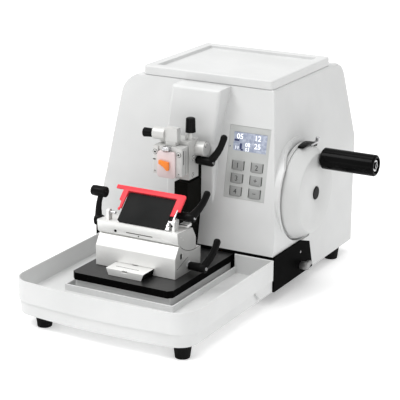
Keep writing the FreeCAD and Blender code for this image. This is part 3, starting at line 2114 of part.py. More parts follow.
side_way = Vector(0, S.side_lever_back.value, S.side_lever_up.value)
place(side_arm, side_mid_x, side_lever_y, side_lever_z, Rotation(Vector(0, 0, 1), side_way))
keep(
    join(
        "side_lever",
        [
            rod(
                "side_lever_hub",
                S.side_lever_hub_radius,
                S.side_lever_hub_length,
                side_x,
                side_lever_y,
                side_lever_z,
                "-X",
            ),
            side_arm,
            rod(
                "side_lever_grip",
                S.side_grip_radius,
                S.side_grip_length,
                side_mid_x + S.side_grip_length / 2,
                side_lever_y + S.side_lever_back,
                side_lever_z + S.side_lever_up,
                "-X",
            ),
            rod(
                "side_lever_stud",
                S.lever_stud_radius,
                S.lever_stud_length,
                side_x,
                side_lever_y,
                side_lever_z,
                "+X",
            ),
        ],
    )
)

# Drive: the shaft in two bearings, with the handwheel outside and the crank disc inside.
stand = keep(new_body("shaft_stand"))
inner_bearing_x = right_x - S.inner_bearing_set
outer_bearing_x = right_x - S.outer_bearing_set
half = S.stand_half_depth
for x in (inner_bearing_x, outer_bearing_x):
    extrude(
        stand,
        "side",
        x - S.stand_thickness / 2,
        S.stand_thickness,
        [
            [
                (shaft_y - half, floor_z),
                (shaft_y + half, floor_z),
                (shaft_y + half, shaft_z),
                arc_to((shaft_y, shaft_z + half), half, False),
                arc_to((shaft_y - half, shaft_z), half, False),
            ]
        ],
    )
extrude(
    stand,
    "top",
    floor_z,
    S.stand_foot,
    [
        rectangle(
            inner_bearing_x, shaft_y - half, outer_bearing_x, shaft_y + half
        )
    ],
)
extrude(
    stand,
    "side",
    ZERO,
    right_x,
    circles=[(shaft_y, shaft_z, S.bearing_radius)],
    cut=True,
)
shaft_bore = S.shaft_radius + S.shaft_fit
bearings = []
for i, x in enumerate((inner_bearing_x, outer_bearing_x), start=1):
    ring_x = x - S.bearing_width / 2
    bearings.append(
        cut_from(
            f"bearing_{i}",
            rod(f"bearing_bar_{i}", S.bearing_radius, S.bearing_width, ring_x, shaft_y, shaft_z, "+X"),
            [rod(f"bearing_bore_{i}", shaft_bore, S.bearing_width, ring_x, shaft_y, shaft_z, "+X")],
        )
    )
keep(group("main_bearings", bearings))
disc_x = carriage_right + S.yoke_thickness + S.crank_gap
crank = keep(new_body("crank_disc"))
extrude(
    crank,
    "side",
    disc_x,
    S.crank_disc_thickness,
    circles=[(shaft_y, shaft_z, S.crank_disc_radius), (shaft_y, shaft_z, S.shaft_radius)],
)
extrude(
    crank,
    "side",
    carriage_right + S.yoke_thickness + S.crank_open_gap,
    S.crank_gap - S.crank_open_gap,
    circles=[(shaft_y, crank_z, S.crank_pin_radius)],
)
wheel_face_x = right_x + S.wheel_proud
wheel_back_x = wheel_face_x - S.wheel_thickness
keep(
    rod(
        "main_shaft",
        S.shaft_radius,
        wheel_back_x + S.shaft_socket - disc_x,
        disc_x,
        shaft_y,
        shaft_z,
        "+X",
    )
)
brake_x = wheel_back_x - S.brake_disc_thickness
brake_disc = keep(new_body("brake_disc"))
extrude(
    brake_disc,
    "side",
    brake_x,
    S.brake_disc_thickness,
    circles=[(shaft_y, shaft_z, S.brake_disc_radius), (shaft_y, shaft_z, S.shaft_radius)],
)
wheel_body = turned(
    "wheel_body",
    [
        (S.shaft_radius, 0),
        (S.wheel_back_radius, 0),
        (S.wheel_back_radius, S.wheel_rim_width),
        arc_to((S.wheel_face_radius, S.wheel_thickness), S.wheel_edge_radius, False),
        (S.hub_cap_radius, S.wheel_thickness),
        (S.hub_cap_radius, S.wheel_thickness - S.hub_cap_seat),
        (0, S.wheel_thickness - S.hub_cap_seat),
        (0, S.shaft_socket),
        (S.shaft_radius, S.shaft_socket),
    ],
    wheel_back_x,
    shaft_y,
    shaft_z,
    "+X",
)
grip_y = shaft_y + S.grip_run
grip_z = shaft_z + S.grip_rise
pin_x = wheel_face_x - S.grip_pin_socket
grip_x = wheel_face_x + S.grip_gap
keep(
    cut_from(
        "handwheel",
        wheel_body,
        [rod("grip_socket", S.grip_pin_radius, S.grip_length, pin_x, grip_y, grip_z, "+X")],
    )
)
keep(
    rod(
        "hub_cap",
        S.hub_cap_radius,
        S.hub_cap_thickness,
        wheel_face_x - S.hub_cap_seat,
        shaft_y,
        shaft_z,
        "+X",
    )
)
grip_floor = S.grip_length - S.grip_end_recess
head_x = grip_x + grip_floor + S.running_gap
keep(
    join(
        "grip_pin",
        [
            rod("grip_pin_bar", S.grip_pin_radius, head_x - pin_x, pin_x, grip_y, grip_z, "+X"),
            rod("grip_pin_head", S.grip_head_radius, S.grip_head_height, head_x, grip_y, grip_z, "+X"),
        ],
    )
)
grip_bore = S.grip_pin_radius + S.shaft_fit
keep(
    turned(
        "grip_sleeve",
        [
            (grip_bore, 0),
            (S.grip_radius - S.grip_chamfer, 0),
            (S.grip_radius, S.grip_chamfer),
            (S.grip_radius, S.grip_length - S.grip_chamfer),
            (S.grip_radius - S.grip_chamfer, S.grip_length),
            (S.grip_recess_radius, S.grip_length),
            (S.grip_recess_radius, grip_floor),
            (grip_bore, grip_floor),
        ],
        grip_x,
        grip_y,
        grip_z,
        "+X",
    )
)

# Coarse feed wheel on the left, on an axle through the housing.
coarse_face_x = left_x - S.coarse_proud
coarse_inner_x = coarse_face_x + S.coarse_width
edge = S.coarse_edge
keep(
    turned(
        "coarse_wheel",
        [
            (0, -S.coarse_axle_length),
            (S.coarse_axle_radius, -S.coarse_axle_length),
            (S.coarse_axle_radius, 0),
            (S.coarse_radius, 0),
            (S.coarse_radius, S.coarse_width - edge),
            (S.coarse_radius - edge, S.coarse_width),
            (S.coarse_dish_radius, S.coarse_width),
            (S.coarse_dish_radius - edge, S.coarse_width - S.coarse_dish_depth),
            (0, S.coarse_width - S.coarse_dish_depth),
        ],
        coarse_inner_x,
        coarse_y,
        coarse_z,
        "-X",
    )
)
coarse_stand = keep(new_body("coarse_stand"))
half = S.coarse_stand_half_depth
extrude(
    coarse_stand,
    "side",
    left_x + S.coarse_stand_set,
    S.coarse_stand_thickness,
    [
        [
            (coarse_y - half, floor_z),
            (coarse_y + half, floor_z),
            (coarse_y + half, coarse_z),
            arc_to((coarse_y, coarse_z + half), half, False),
            arc_to((coarse_y - half, coarse_z), half, False),
        ]
    ],
    circles=[(coarse_y, coarse_z, S.coarse_axle_radius + S.shaft_fit)],
)

# Control panel: a plate with a screen and six buttons, and the board behind it.
panel = keep(new_body("control_panel"))
seam = S.panel_seam
plate_face = S.panel_thickness - S.panel_recess
extrude(
    panel,
    "top",
    -S.panel_recess,
    S.panel_thickness,
    [rectangle(seam, seam, S.panel_width - seam, S.panel_height - seam)],
)
button_spots = [
    (
        S.button_side_set + S.button_pitch_across * column,
        S.panel_height - S.button_top_set - S.button_pitch_down * line,
    )
    for line in range(3)
    for column in range(2)
]
hole_gap = S.running_gap
half_w = S.button_width / 2
half_h = S.button_height / 2
extrude(
    panel,
    "top",
    -S.panel_recess - S.overrun,
    S.panel_thickness + S.overrun * 2,
    [
        rectangle(a - half_w - hole_gap, u - half_h - hole_gap, a + half_w + hole_gap, u + half_h + hole_gap)
        for a, u in button_spots
    ],
    cut=True,
)
screen_low = S.panel_height - S.screen_top_set - S.screen_height
screen_floor = plate_face - S.screen_depth
extrude(
    panel,
    "top",
    screen_floor,
    S.overrun,
    [
        rectangle(
            S.screen_side_set,
            screen_low,
            S.screen_side_set + S.screen_width,
            screen_low + S.screen_height,
        )
    ],
    cut=True,
)
place(panel, *on_face(ZERO, ZERO, ZERO), face_turn)
keep(
    face_block(
        "lcd_screen",
        S.screen_side_set,
        screen_low,
        screen_floor,
        S.screen_side_set + S.screen_width,
        screen_low + S.screen_height,
        plate_face,
    )
)
button_top = plate_face + S.button_rise
flange_top = -S.panel_recess - S.button_flange_gap
flange_low = flange_top - S.button_flange_thickness
for i, (a, u) in enumerate(button_spots, start=1):
    button = keep(new_body(f"button_{i}"))
    extrude(
        button,
        "top",
        flange_low,
        button_top - flange_low,
        [rectangle(a - half_w, u - half_h, a + half_w, u + half_h)],
    )
    round_edges(
        button,
        S.button_edge,
        lambda m, w: m.z > button_top.value - 0.01,
        "PartDesign::Chamfer",
    )
    lap = S.button_flange
    extrude(
        button,
        "top",
        flange_low,
        S.button_flange_thickness,
        [rectangle(a - half_w - lap, u - half_h - lap, a + half_w + lap, u + half_h + lap)],
    )
    place(button, *on_face(ZERO, ZERO, ZERO), face_turn)
board_top = -S.panel_recess - S.board_gap
inset = S.board_inset
post_inset = S.board_post_inset
board_parts = [
    face_block(
        "board",
        inset,
        inset,
        board_top - S.board_thickness,
        S.panel_width - inset,
        S.panel_height - inset,
        board_top,
    )
]
for i, (a, u) in enumerate(
    (
        (post_inset, S.panel_height - post_inset),
        (S.panel_width - post_inset, S.panel_height - post_inset),
        (S.panel_width / 2, post_inset),
    ),
    start=1,
):
    post = rod(f"board_post_{i}", S.board_post_radius, S.board_gap, ZERO, ZERO, ZERO)
    board_parts.append(place(post, *on_face(as_size(a), as_size(u), board_top), face_turn))
keep(join("circuit_board", board_parts))

# Lock with a wing on the right cheek.
lock = keep(new_body("lock_knob"))
lock_x = right_x + S.running_gap
extrude(lock, "side", lock_x, S.lock_length, circles=[(lock_y, lock_z, S.lock_radius)])
wing_length = root(S.lock_wing_run * S.lock_wing_run + S.lock_wing_rise * S.lock_wing_rise)
wing_y = S.lock_wing_half_width * S.lock_wing_rise / wing_length
wing_z = S.lock_wing_half_width * S.lock_wing_run / wing_length
extrude(
    lock,
    "side",
    lock_x + S.lock_length - S.lock_wing_thickness,
    S.lock_wing_thickness * 2,
    [
        [
            (lock_y - wing_y, lock_z + wing_z),
            (lock_y + S.lock_wing_run - wing_y, lock_z + S.lock_wing_rise + wing_z),
            (lock_y + S.lock_wing_run + wing_y, lock_z + S.lock_wing_rise - wing_z),
            (lock_y + wing_y, lock_z - wing_z),
        ]
    ],
)
extrude(
    lock,
    "side",
    lock_x - S.lock_stud_length,
    S.lock_stud_length + S.overrun,
    circles=[(lock_y, lock_z, S.lock_stud_radius)],
)

# Rear plate inside the housing's window, with a mains inlet and a rocker switch.
rear_plate_y = back_y - S.housing_wall - S.rear_plate_thickness
lap = S.rear_plate_lap
inlet_x = rear_x + S.inlet_side
inlet_z = rear_z + (S.rear_plate_height - S.inlet_height) / 2
switch_x = rear_x + S.rocker_side
switch_z = rear_z + (S.rear_plate_height - S.rocker_height) / 2
frame = S.rocker_frame
rear_plate = keep(new_body("rear_panel"))
extrude(
    rear_plate,
    "front",
    rear_plate_y,
    S.rear_plate_thickness,
    [
        rectangle(
            rear_x - lap, rear_z - lap, rear_x + S.rear_plate_width + lap, rear_z + S.rear_plate_height + lap
        ),
        rectangle(inlet_x, inlet_z, inlet_x + S.inlet_width, inlet_z + S.inlet_height),
        rectangle(
            switch_x - frame,
            switch_z - frame,
            switch_x + S.rocker_width + frame,
            switch_z + S.rocker_height + frame,
        ),
    ],
)
inlet = keep(new_body("power_inlet"))
inlet_face_y = rear_plate_y + S.rear_plate_thickness + S.inlet_proud
inlet_back_y = inlet_face_y - S.inlet_depth
extrude(
    inlet,
    "front",
    inlet_back_y,
    S.inlet_depth,
    [rectangle(inlet_x, inlet_z, inlet_x + S.inlet_width, inlet_z + S.inlet_height)],
)
wall = S.inlet_wall
extrude(
    inlet,
    "front",
    inlet_back_y + S.inlet_floor,
    S.inlet_depth,
    [
        rectangle(
            inlet_x + wall, inlet_z + wall, inlet_x + S.inlet_width - wall, inlet_z + S.inlet_height - wall
        )
    ],
    cut=True,
)
contact_x = inlet_x + S.inlet_width / 2
contact_z = inlet_z + S.inlet_height / 2
extrude(
    inlet,
    "front",
    inlet_back_y,
    S.inlet_depth - S.contact_short,
    [
        rectangle(
            contact_x + S.contact_spread * side - S.contact_width / 2,
            contact_z + S.contact_height * lift / 2 - S.contact_height / 2,
            contact_x + S.contact_spread * side + S.contact_width / 2,
            contact_z + S.contact_height * lift / 2 + S.contact_height / 2,
        )
        for side, lift in ((-1, -1), (0, 1), (1, -1))
    ],
)
switch_box = keep(new_body("switch_box"))
switch_face_y = rear_plate_y + S.rear_plate_thickness + S.inlet_proud
extrude(
    switch_box,
    "front",
    switch_face_y - S.rocker_box_depth,
    S.rocker_box_depth,
    [
        rectangle(
            switch_x - frame,
            switch_z - frame,
            switch_x + S.rocker_width + frame,
            switch_z + S.rocker_height + frame,
        )
    ],
)
extrude(
    switch_box,
    "front",
    switch_face_y - S.rocker_box_depth + frame,
    S.rocker_box_depth,
    [rectangle(switch_x, switch_z, switch_x + S.rocker_width, switch_z + S.rocker_height)],
    cut=True,
)
rocker = keep(new_body("power_rocker"))
gap = S.rocker_gap
rocker_low = switch_z + gap
rocker_high = switch_z + S.rocker_height - gap
extrude(
    rocker,
    "side",
    switch_x + gap,
    S.rocker_width - gap * 2,
    [
        [
            (switch_face_y - S.rocker_depth, rocker_low + S.rocker_slant),
            (switch_face_y + ZERO, rocker_low),
            (switch_face_y - S.rocker_slant / 2, (rocker_low + rocker_high) / 2),
            (switch_face_y - S.rocker_slant, rocker_high),
            (switch_face_y - S.rocker_depth, rocker_high - S.rocker_slant),
        ]
    ],
)

doc.recompute()
os.makedirs("parts", exist_ok=True)
for node in nodes:
    shape = node.Shape
    if "Invalid" in node.State or "Error" in node.State or shape.isNull() or not shape.isValid():
        raise RuntimeError(f"{node.Label} isn't sound: {node.State}")
    shape.exportStep(f"parts/{node.Label}.step")
    box = shape.BoundBox
    low = (round(box.XMin, 1), round(box.YMin, 1), round(box.ZMin, 1))
    high = (round(box.XMax, 1), round(box.YMax, 1), round(box.ZMax, 1))
    print(node.Label, len(shape.Solids), low, high)
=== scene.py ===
# %% [markdown]
# A rotary microtome, dressed for a product photograph
#
# The instrument cuts slices a few thousandths of a millimetre thick from a block of wax. Its solids come
# from a CAD model, which this script loads as a fixed frame. Everything here is in metres, in that frame:
# +X is to the handwheel, +Y to the back and +Z up. The lesson dresses the solids piece by piece.

import bmesh
import bpy
import json
import math
from mathutils import Matrix, Vector

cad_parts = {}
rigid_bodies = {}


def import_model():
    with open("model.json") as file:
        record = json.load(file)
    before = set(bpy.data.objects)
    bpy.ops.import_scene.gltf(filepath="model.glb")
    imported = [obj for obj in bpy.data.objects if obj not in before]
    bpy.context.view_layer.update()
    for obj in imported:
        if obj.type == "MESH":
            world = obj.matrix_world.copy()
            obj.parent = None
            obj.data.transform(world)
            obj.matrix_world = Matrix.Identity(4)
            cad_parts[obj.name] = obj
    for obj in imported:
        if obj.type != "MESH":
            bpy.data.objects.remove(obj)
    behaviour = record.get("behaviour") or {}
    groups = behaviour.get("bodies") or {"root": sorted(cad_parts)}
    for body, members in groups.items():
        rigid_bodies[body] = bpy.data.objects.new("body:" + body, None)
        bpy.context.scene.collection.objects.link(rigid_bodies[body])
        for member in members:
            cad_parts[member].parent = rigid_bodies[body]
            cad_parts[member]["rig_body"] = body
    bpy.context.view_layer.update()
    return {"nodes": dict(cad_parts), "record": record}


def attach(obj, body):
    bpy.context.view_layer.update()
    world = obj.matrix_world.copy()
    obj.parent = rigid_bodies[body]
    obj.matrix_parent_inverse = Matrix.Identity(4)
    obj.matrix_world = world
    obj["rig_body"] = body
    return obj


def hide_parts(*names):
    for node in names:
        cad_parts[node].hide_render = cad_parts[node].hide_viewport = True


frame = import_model()
MM = 0.001

# %% [markdown]
# Camera
#
# The photograph was taken from the right, a little above, with a long lens. The camera comes first, since
# every later choice is judged through it. Its place was worked out from the edges that run to the three
# vanishing points, so the model lines up with the photograph without being moved.

# %% Camera
CAMERA_PLACE = Vector((954.7, -1777.6, 768.6)) * MM
CAMERA_TURN = 28.868
CAMERA_TILT = 17.377
CAMERA_ROLL = 0.395
CAMERA_LENS = 133.58

eye = bpy.data.cameras.new("photo_camera")
eye.lens = CAMERA_LENS
eye.sensor_width = 36
eye.clip_start = 0.05
eye.clip_end = 20
camera = bpy.data.objects.new("photo_camera", eye)
bpy.context.scene.collection.objects.link(camera)
camera.location = CAMERA_PLACE
camera.rotation_euler = (
    Matrix.Rotation(math.radians(CAMERA_TURN), 3, "Z")
    @ Matrix.Rotation(math.radians(90 - CAMERA_TILT), 3, "X")
    @ Matrix.Rotation(math.radians(CAMERA_ROLL), 3, "Z")
).to_euler()
bpy.context.scene.camera = camera
print("Camera turned", CAMERA_TURN, "and looking down", CAMERA_TILT, "degrees")

# %% [markdown]
# Finishes
#
# A finish starts as a Principled shader. Real surfaces are never even, so the usual finish gets a little
# noise in its colour, its gloss and its height. All noise reads Object coordinates, which are metres here, so
# the grain has its real size on every piece.

# %% Helpers for finishes
COAT_ROUGHNESS = 0.08
NOISE_DARK, NOISE_LIGHT = 0.35, 0.65
BUMP_STRENGTH = 0.5
BLOTCHES_PER_METRE = 14
GRAINS_PER_GLOSS_PATCH = 6


def new_finish(name, colour, roughness, metallic=0.0, coat=0.0, shine=0.5):
    """A material and its shader. A low shine lowers the index too, so black stays black at the edges."""
    made = bpy.data.materials.new(name)
    made.use_nodes = True
    shader = made.node_tree.nodes["Principled BSDF"]
    shader.inputs["Base Color"].default_value = (*colour, 1)
    shader.inputs["Roughness"].default_value = roughness
    shader.inputs["Metallic"].default_value = metallic
    shader.inputs["Coat Weight"].default_value = coat
    shader.inputs["Coat Roughness"].default_value = COAT_ROUGHNESS
    shader.inputs["Specular IOR Level"].default_value = shine
    shader.inputs["IOR"].default_value = 1.1 + 0.8 * shine
    return made, shader


def noise(made, per_metre, detail=4.0):
    """Noise on Object coordinates, so its size is real and it stays with the piece."""
    tree = made.node_tree
    place = tree.nodes.new("ShaderNodeTexCoord")
    texture = tree.nodes.new("ShaderNodeTexNoise")
    texture.inputs["Scale"].default_value = per_metre
    texture.inputs["Detail"].default_value = detail
    tree.links.new(place.outputs["Object"], texture.inputs["Vector"])
    return texture.outputs["Fac"]


def vary_colour(made, shader, source, dark, light):
    """Noise picks a colour between dark and light."""
    ramp = made.node_tree.nodes.new("ShaderNodeValToRGB")
    ramp.color_ramp.elements[0].position = NOISE_DARK
    ramp.color_ramp.elements[0].color = (*dark, 1)
    ramp.color_ramp.elements[1].position = NOISE_LIGHT
    ramp.color_ramp.elements[1].color = (*light, 1)
    made.node_tree.links.new(source, ramp.inputs["Fac"])
    made.node_tree.links.new(ramp.outputs["Color"], shader.inputs["Base Color"])


def vary_roughness(made, shader, source, low, high):
    spread = made.node_tree.nodes.new("ShaderNodeMapRange")
    spread.inputs["To Min"].default_value = low
    spread.inputs["To Max"].default_value = high
    made.node_tree.links.new(source, spread.inputs["Value"])
    made.node_tree.links.new(spread.outputs["Result"], shader.inputs["Roughness"])


def raise_grain(made, shader, source, height):
    """Noise lifts the surface by up to a height in metres."""
    bump = made.node_tree.nodes.new("ShaderNodeBump")
    bump.inputs["Distance"].default_value = height
    bump.inputs["Strength"].default_value = BUMP_STRENGTH
    made.node_tree.links.new(source, bump.inputs["Height"])
    made.node_tree.links.new(bump.outputs["Normal"], shader.inputs["Normal"])


def grained_finish(name, dark, light, rough, grain, height, metallic=0.0, coat=0.0, shine=0.5):
    """The usual finish: uneven colour, uneven gloss and a fine grain."""
    made, shader = new_finish(name, light, rough[1], metallic, coat, shine)
    vary_colour(made, shader, noise(made, BLOTCHES_PER_METRE, 3.0), dark, light)
    vary_roughness(made, shader, noise(made, grain / GRAINS_PER_GLOSS_PATCH, 2.0), *rough)
    raise_grain(made, shader, noise(made, grain, 4.0), height)
    return made


# %% The finishes of this instrument
FINISHES = {
    "housing_white": grained_finish(
        "housing_paint", (0.63, 0.635, 0.632), (0.67, 0.675, 0.672), (0.46, 0.54), 1400, 0.00006
    ),
    "wheel_white": grained_finish(
        "wheel_enamel", (0.56, 0.565, 0.56), (0.61, 0.615, 0.61), (0.34, 0.42), 900, 0.00003
    ),
    "black_gloss": grained_finish(
        "black_lacquer", (0.002, 0.002, 0.002), (0.004, 0.004, 0.004), (0.3, 0.4), 700, 0.00002, shine=0.04
    ),
    "black_disc": grained_finish(
        "black_disc", (0.004, 0.004, 0.004), (0.008, 0.008, 0.008), (0.35, 0.45), 1800, 0.00005, shine=0.08
    ),
    "foot_rubber": grained_finish(
        "foot_rubber", (0.004, 0.004, 0.004), (0.01, 0.01, 0.01), (0.6, 0.75), 2200, 0.0001, shine=0.2
    ),
    "panel_silver": grained_finish(
        "panel_film", (0.46, 0.47, 0.46), (0.52, 0.53, 0.52), (0.34, 0.42), 3000, 0.00002
    ),
    "screen": grained_finish(
        "display_glass", (0.36, 0.4, 0.56), (0.44, 0.47, 0.62), (0.08, 0.14), 500, 0.00001, coat=0.3
    ),
    "board_green": grained_finish(
        "board_laminate", (0.02, 0.1, 0.04), (0.03, 0.14, 0.06), (0.4, 0.5), 1500, 0.00004
    ),
    "button_grey": grained_finish(
        "button_rubber", (0.27, 0.275, 0.27), (0.32, 0.325, 0.32), (0.42, 0.5), 2600, 0.00004
    ),
    "cast_frame": grained_finish(
        "casting", (0.14, 0.145, 0.15), (0.2, 0.205, 0.21), (0.5, 0.62), 900, 0.0002, metallic=0.4
    ),
    "steel": grained_finish(
        "ground_steel", (0.5, 0.5, 0.51), (0.62, 0.62, 0.63), (0.2, 0.34), 2400, 0.00002, metallic=1.0
    ),
    "head_silver": grained_finish(
        "satin_silver", (0.54, 0.54, 0.53), (0.64, 0.64, 0.625), (0.44, 0.54), 2600, 0.00003, metallic=0.4
    ),
    "shield_black": grained_finish(
        "shield_black", (0.012, 0.012, 0.013), (0.02, 0.02, 0.021), (0.5, 0.6), 1500, 0.00006
    ),
    "motor_black": grained_finish(
        "motor_black", (0.012, 0.012, 0.013), (0.02, 0.02, 0.021), (0.4, 0.5), 1100, 0.0001
    ),
    "black_plastic": grained_finish(
        "black_plastic", (0.004, 0.004, 0.004), (0.008, 0.008, 0.008), (0.26, 0.36), 1600, 0.00003, shine=0.2
    ),
    "cassette_white": grained_finish(
        "cassette_plastic", (0.66, 0.55, 0.55), (0.72, 0.62, 0.62), (0.4, 0.5), 1600, 0.00003
    ),
    "wax_orange": grained_finish(
        "wax_block", (0.88, 0.2, 0.012), (0.95, 0.3, 0.03), (0.35, 0.5), 900, 0.0001
    ),
    "holder_white": grained_finish(
        "holder_anodised", (0.8, 0.8, 0.785), (0.88, 0.88, 0.865), (0.3, 0.4), 2600, 0.00002, metallic=0.35
    ),
    "blade_steel": grained_finish(
        "honed_steel", (0.55, 0.56, 0.58), (0.66, 0.67, 0.69), (0.12, 0.22), 3000, 0.00001, metallic=1.0
    ),
    "guard_red": grained_finish(
        "guard_red", (0.82, 0.045, 0.06), (0.9, 0.07, 0.09), (0.36, 0.44), 1300, 0.00002, shine=0.3
    ),
    "cap_grey": grained_finish(
        "cap_black", (0.003, 0.003, 0.003), (0.006, 0.006, 0.006), (0.4, 0.5), 1800, 0.00003, shine=0.2
    ),
    "lock_chrome": grained_finish(
        "lock_chrome", (0.62, 0.62, 0.62), (0.72, 0.72, 0.72), (0.14, 0.2), 800, 0.00001, metallic=1.0
    ),
    "rear_metal": grained_finish(
        "rear_sheet", (0.5, 0.51, 0.52), (0.6, 0.61, 0.62), (0.35, 0.45), 2400, 0.00003, metallic=0.9
    ),
    "socket_black": grained_finish(
        "socket_black", (0.01, 0.01, 0.01), (0.016, 0.016, 0.016), (0.35, 0.45), 2000, 0.00005
    ),
}
# Painted shade: a darker, half-metallic copy of the holder's white for faces turned to the right, away from
# the light.
RIGHT_FACE_SHADE = grained_finish(
    "right_face_painted_shade", (0.42, 0.42, 0.412), (0.5, 0.5, 0.49), (0.34, 0.44), 2600, 0.00002, metallic=0.5
)
BED_SATIN = grained_finish(
    "bed_satin", (0.008, 0.008, 0.008), (0.012, 0.012, 0.012), (0.34, 0.4), 900, 0.000003
)
GRIP_GLOSS = grained_finish(
    "grip_gloss", (0.003, 0.003, 0.003), (0.005, 0.005, 0.005), (0.1, 0.16), 900, 0.00001, shine=0.16
)
SATIN_KNOB = grained_finish(
    "satin_knob", (0.26, 0.26, 0.26), (0.36, 0.36, 0.36), (0.3, 0.4), 1500, 0.00002, metallic=0.8
)
COLUMN_BLACK = grained_finish(
    "column_black", (0.006, 0.006, 0.005), (0.009, 0.009, 0.008), (0.16, 0.24), 900, 0.00002, shine=0.08
)
PLATE_BLACK = grained_finish(
    "plate_black", (0.018, 0.0185, 0.0185), (0.026, 0.0265, 0.0265), (0.5, 0.6), 1800, 0.00003, shine=0.06
)
print("Finishes made:", len(FINISHES))

# %% [markdown]
# Every solid gets its finish
#
# The record says which slot each CAD node belongs to. The node keeps its mesh, and only the material in its
# slots is swapped for the finish of the same name.

# %% Paint the CAD nodes
slot_of = {entry["node"]: entry["material_slot"] for entry in frame["record"]["subparts"]}
for name, node in frame["nodes"].items():
    node.data.materials.clear()
    node.data.materials.append(FINISHES[slot_of[name]])
print("Nodes painted:", len(slot_of))

# %% [markdown]
# Softened edges
#
# CAD edges are perfectly sharp, and a sharp edge catches no light. On a real casting or moulding each edge is
# rounded, and the thin highlight along it is what makes a picture look real. A copy of the node's mesh is
# merged first, since it comes as loose triangles, and its flat faces are joined. A Bevel modifier then rounds
# every edge that turns by more than a limit. Some faces of a solid get a second finish, such as a plate's
# satin top and the darker grey of painted shade on faces turned from the light.

# %% A softened copy of a CAD node


def body_with(node_name):
    return frame["nodes"][node_name]["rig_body"]


def finish_piece(name, mesh, body, slot, stands_for=(), material=None):
    """Puts a mesh in the scene, on its body and with its finish."""
    piece = bpy.data.objects.new(name, mesh)
    bpy.context.scene.collection.objects.link(piece)
    mesh.materials.clear()
    mesh.materials.append(material or FINISHES[slot])
    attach(piece, body)
    if stands_for:
        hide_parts(*stands_for)
    return piece


SHARP_ANGLE = 32
MERGE_REACH = 0.000004


def round_off(piece, width):
    """Rounds the edges that turn by more than the sharp angle, and shades the rest smooth."""
    bevel = piece.modifiers.new("rounding", "BEVEL")
    bevel.width = width
    bevel.segments = 3
    bevel.limit_method = "ANGLE"
    bevel.angle_limit = math.radians(SHARP_ANGLE)
    bevel.use_clamp_overlap = True
    bevel.harden_normals = False
    for polygon in piece.data.polygons:
        polygon.use_smooth = True
    even = piece.modifiers.new("even_shading", "WEIGHTED_NORMAL")
    even.keep_sharp = True
    even.weight = 80


def merged_copy(node_name, mesh_name):
    """A copy of the node's mesh with its corners merged and its flat faces joined."""
    shape = bmesh.new()
    shape.from_mesh(frame["nodes"][node_name].data)
    bmesh.ops.remove_doubles(shape, verts=shape.verts, dist=MERGE_REACH)
    bmesh.ops.dissolve_limit(
        shape,
        angle_limit=math.radians(1.0),
        verts=shape.verts,
        edges=shape.edges,
        delimit={"NORMAL"},
    )
    mesh = bpy.data.meshes.new(mesh_name)
    shape.to_mesh(mesh)
    shape.free()
    return mesh


def soften(node_name, width, name=None, slot=None, second=None, chosen=None):
    """A softened copy that stands for its node. The faces that a test picks can get a second finish."""
    name = name or f"{node_name}_soft"
    mesh = merged_copy(node_name, name)
    piece = finish_piece(name, mesh, body_with(node_name), slot or slot_of[node_name], (node_name,))
    if second:
        mesh.materials.append(second)
        for polygon in mesh.polygons:
            if chosen(polygon):
                polygon.material_index = 1
    round_off(piece, width * MM)
    return piece


def faces_up(polygon):
    return polygon.normal.z > 0.9


def faces_right(polygon):
    return polygon.normal.x > 0.9


# %% [markdown]
# Which solids are softened
#
# The table gives each solid its edge in millimetres. The bed is satin on top, and the holder's right ends are
# painted a darker grey as shade. The brake disc is painted like the wheel, and the grip is glossier than
# other black parts.

# %% Soften the visible solids
SOFT_EDGES = {
    "housing_cover": 1.2,
    "top_lid": 1.0,
    "base_plinth": 1.0,
    "waste_tray": 0.9,
    "base_chassis": 0.8,
    "bed_plate": 0.6,
    "brake_disc": 0.4,
    "feet": 0.8,
    "control_panel": 0.3,
    "tilt_frame": 0.7,
    "head_collars": 0.6,
    "cassette_clamp": 0.5,
    "knife_base": 0.7,
    "blade_holder": 0.6,
    "hub_cap": 0.6,
    "coarse_wheel": 0.8,
    "grip_sleeve": 0.6,
    "power_inlet": 0.4,
    "switch_box": 0.4,
    "power_rocker": 0.5,
}
SECOND_FINISH = {
    "bed_plate": (BED_SATIN, faces_up),
    "knife_base": (RIGHT_FACE_SHADE, faces_right),
    "blade_holder": (RIGHT_FACE_SHADE, faces_right),
}
softened = {}
for name, width in SOFT_EDGES.items():
    second, chosen = SECOND_FINISH.get(name, (None, None))
    softened[name] = soften(name, width, second=second, chosen=chosen)
softened["brake_disc"].data.materials[0] = FINISHES["wheel_white"]
softened["grip_sleeve"].data.materials[0] = GRIP_GLOSS
print("Softened copies:", len(softened))

# %% [markdown]
# Shapes from a few operators
#
# The rest of the pieces come from five ways of making a mesh. A turned piece spins an outline, as a lathe
# does. A slab is a box with its edges rounded. A cut plate is an outline given a thickness. A slot plate is a
# circle pulled apart. A drawn arm pushes a ring along a path and changes its size on the way. A shape is made
# in its place, or made on the origin and carried there, so no finished object needs a turn of its own.

# %% Turned, slab, plate and arm


def moved(place, turn):
    """Turns what was made on the origin and carries it to a place in millimetres."""
    return Matrix.Translation(Vector(place) * MM) @ turn


def aimed(place, way):
    """Carries what was made along +Z to a place, facing a way."""
    return moved(place, Vector(way).to_track_quat("Z", "Y").to_matrix().to_4x4())


def leaning(place, up, off):
    """Carries what was made flat to a face that leans. Up and off are the face's own directions."""
    up, off = Vector(up).normalized(), Vector(off).normalized()
    rows = [(float(i == 0), up[i], off[i], place[i] * MM) for i in range(3)]
    return Matrix((*rows, (0, 0, 0, 1)))


TO_RIGHT = Matrix(((0, 0, 1, 0), (1, 0, 0, 0), (0, 1, 0, 0), (0, 0, 0, 1)))
TO_FRONT = Matrix(((1, 0, 0, 0), (0, 0, -1, 0), (0, 1, 0, 0), (0, 0, 0, 1)))
LYING = Matrix.Rotation(math.pi / 2, 4, "Z")
RIGHT, FRONT, LEFT, UP = (1, 0, 0), (0, -1, 0), (-1, 0, 0), (0, 0, 1)


